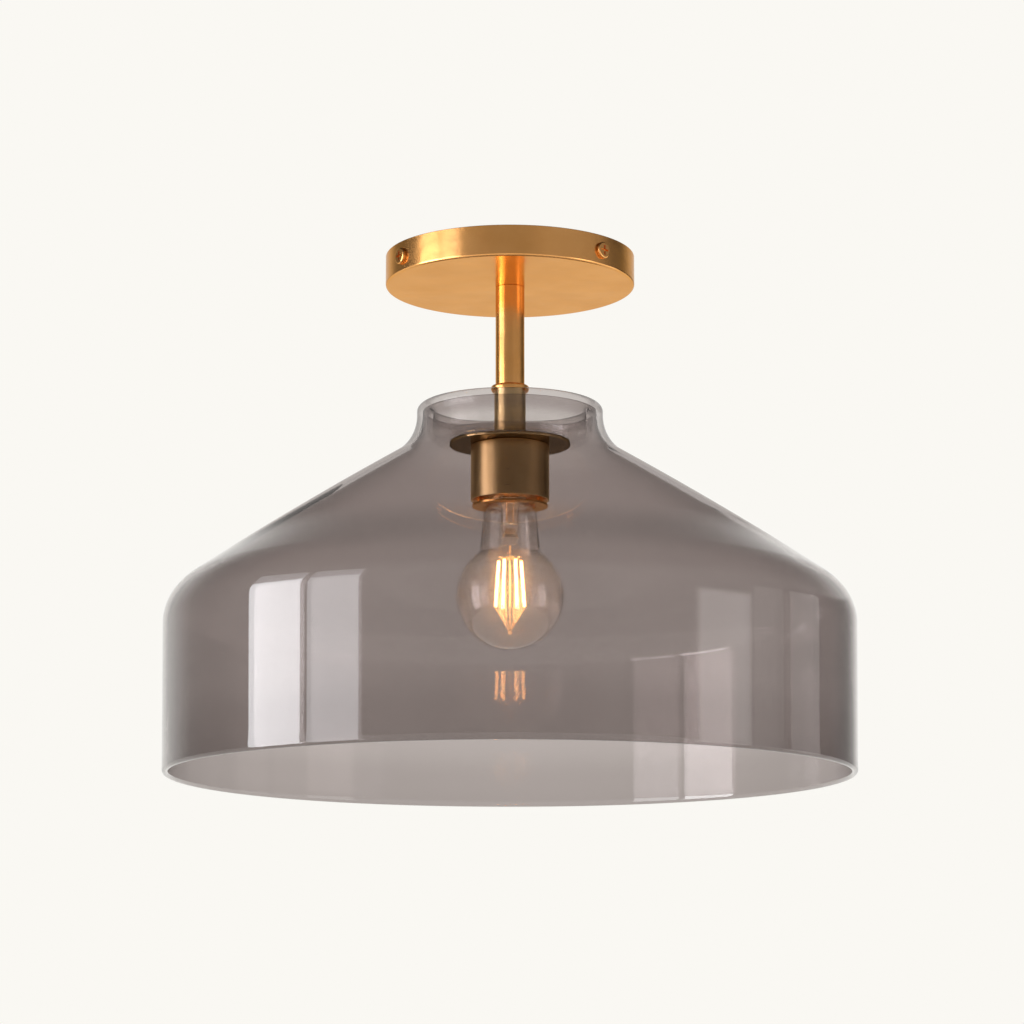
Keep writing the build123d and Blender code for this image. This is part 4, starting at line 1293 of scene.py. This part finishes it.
def card_finish(name, colour, strength, side_fade, top_fade, upper=1.0):
    """A glowing card whose edges fade over a share of its width and height.

    Above the rail it glows by the share upper of the rest.
    """
    material = bpy.data.materials.new(name)
    material.use_nodes = True
    tree = material.node_tree
    tree.nodes.clear()
    layout = tree.nodes.new("ShaderNodeTexCoord")
    across, up, _ = add_node(tree, "ShaderNodeSeparateXYZ", Vector=layout.outputs["UV"]).outputs
    level = product(
        tree,
        soft_step(tree, across, 0, side_fade),
        soft_step(tree, across, 1, 1 - side_fade),
        soft_step(tree, up, 1, 1 - top_fade),
        soft_step(tree, up, *RAIL, 1.0, upper),
        strength,
    )
    glow = add_node(tree, "ShaderNodeEmission", Color=(*colour, 1), Strength=level)
    clear = tree.nodes.new("ShaderNodeBsdfTransparent")
    both = tree.nodes.new("ShaderNodeAddShader")
    link(tree, glow.outputs[0], both.inputs[0])
    link(tree, clear.outputs[0], both.inputs[1])
    depth = tree.nodes.new("ShaderNodeLightPath").outputs["Glossy Depth"]
    mirrored = math_node(tree, "GREATER_THAN", depth, 0.5)
    shown = either(tree, mirrored, clear.outputs[0], both.outputs[0])
    link(tree, shown, tree.nodes.new("ShaderNodeOutputMaterial").inputs["Surface"])
    return material


def card(name, start, end, top, material, bottom=-1.3, steps=12, distance=2.2):
    """A card bent round the light, from one angle to another; 0 is the front, 90 the right."""
    mesh = bpy.data.meshes.new(name)
    points, faces, layout = [], [], []
    for step in range(steps + 1):
        angle = math.radians(start + (end - start) * step / steps)
        across = (distance * math.sin(angle), -distance * math.cos(angle))
        points += [(*across, bottom), (*across, top)]
    for step in range(steps):
        low = 2 * step
        faces.append((low, low + 2, low + 3, low + 1))
        left, right = step / steps, (step + 1) / steps
        layout += [(left, 0), (right, 0), (right, 1), (left, 1)]
    mesh.from_pydata(points, [], faces)
    sheet = mesh.uv_layers.new(name="sheet")
    for number, place in enumerate(layout):
        sheet.data[number].uv = place
    mesh.materials.append(material)
    piece = bpy.data.objects.new(name, mesh)
    scene.collection.objects.link(piece)
    piece.visible_camera = False
    piece.visible_diffuse = False
    piece.visible_shadow = False


COOL, WARM = (0.95, 0.965, 1.0), (1.0, 0.965, 0.95)
WINDOW_TOP, FAINT_TOP = 0.76, 0.24
for name, start, end, top, finish in (
    ("window_left", -89.2, -67.2, WINDOW_TOP, ("window light", COOL, 8.6, 0.03, 0.01, 0.21)),
    ("window_left_front", -65.3, -46.4, WINDOW_TOP, ("window net", COOL, 4.3, 0.04, 0.01, 0.42)),
    ("soft_right", 58.5, 81.5, 0.085, ("soft light", WARM, 1.6, 0.12, 0.035)),
    ("faint_right", 81, 95.5, FAINT_TOP, ("faint light", WARM, 0.35, 0.06, 0.02)),
    ("faint_right_back", 98, 116, FAINT_TOP, ("faint light behind", WARM, 0.6, 0.06, 0.02)),
):
    card(name, start, end, top, card_finish(*finish))
    print(name, "from", start, "to", end, "degrees")


# %% [markdown]
# ### Lamps
#
# Two soft lamps, one to each side, light the floor and the plain surfaces. They are hidden from
# mirrored and transmitted rays, because the cards are what the brass and the glass show.

# %% Lamps
SHADE_MIDDLE = Vector((0, 0, -0.15))


def lamp(name, spot, power, size=1.4):
    """A soft square lamp that points at the shade."""
    light = bpy.data.lights.new(name, "AREA")
    light.size = size
    light.energy = power
    holder = bpy.data.objects.new(name, light)
    holder.location = spot
    holder.rotation_euler = (SHADE_MIDDLE - Vector(spot)).to_track_quat("-Z", "Y").to_euler()
    holder.visible_glossy = False
    holder.visible_transmission = False
    scene.collection.objects.link(holder)


lamp("lamp_left", (-2.0, -1.2, 0.9), 26)
lamp("lamp_right", (2.1, -1.0, 0.5), 14)
print("lamps", len(bpy.data.lights))

# %% [markdown]
# ## Bounces, the view and the end
#
# A ray that crosses the shade, the bulb and the mount passes a dozen faces, so glass needs many bounces.
# The view transform is the plain one, so a colour shows as it was written.

# %% Bounces
scene.cycles.max_bounces = 28
scene.cycles.transmission_bounces = 28
scene.cycles.glossy_bounces = 10
scene.view_settings.view_transform = "Standard"
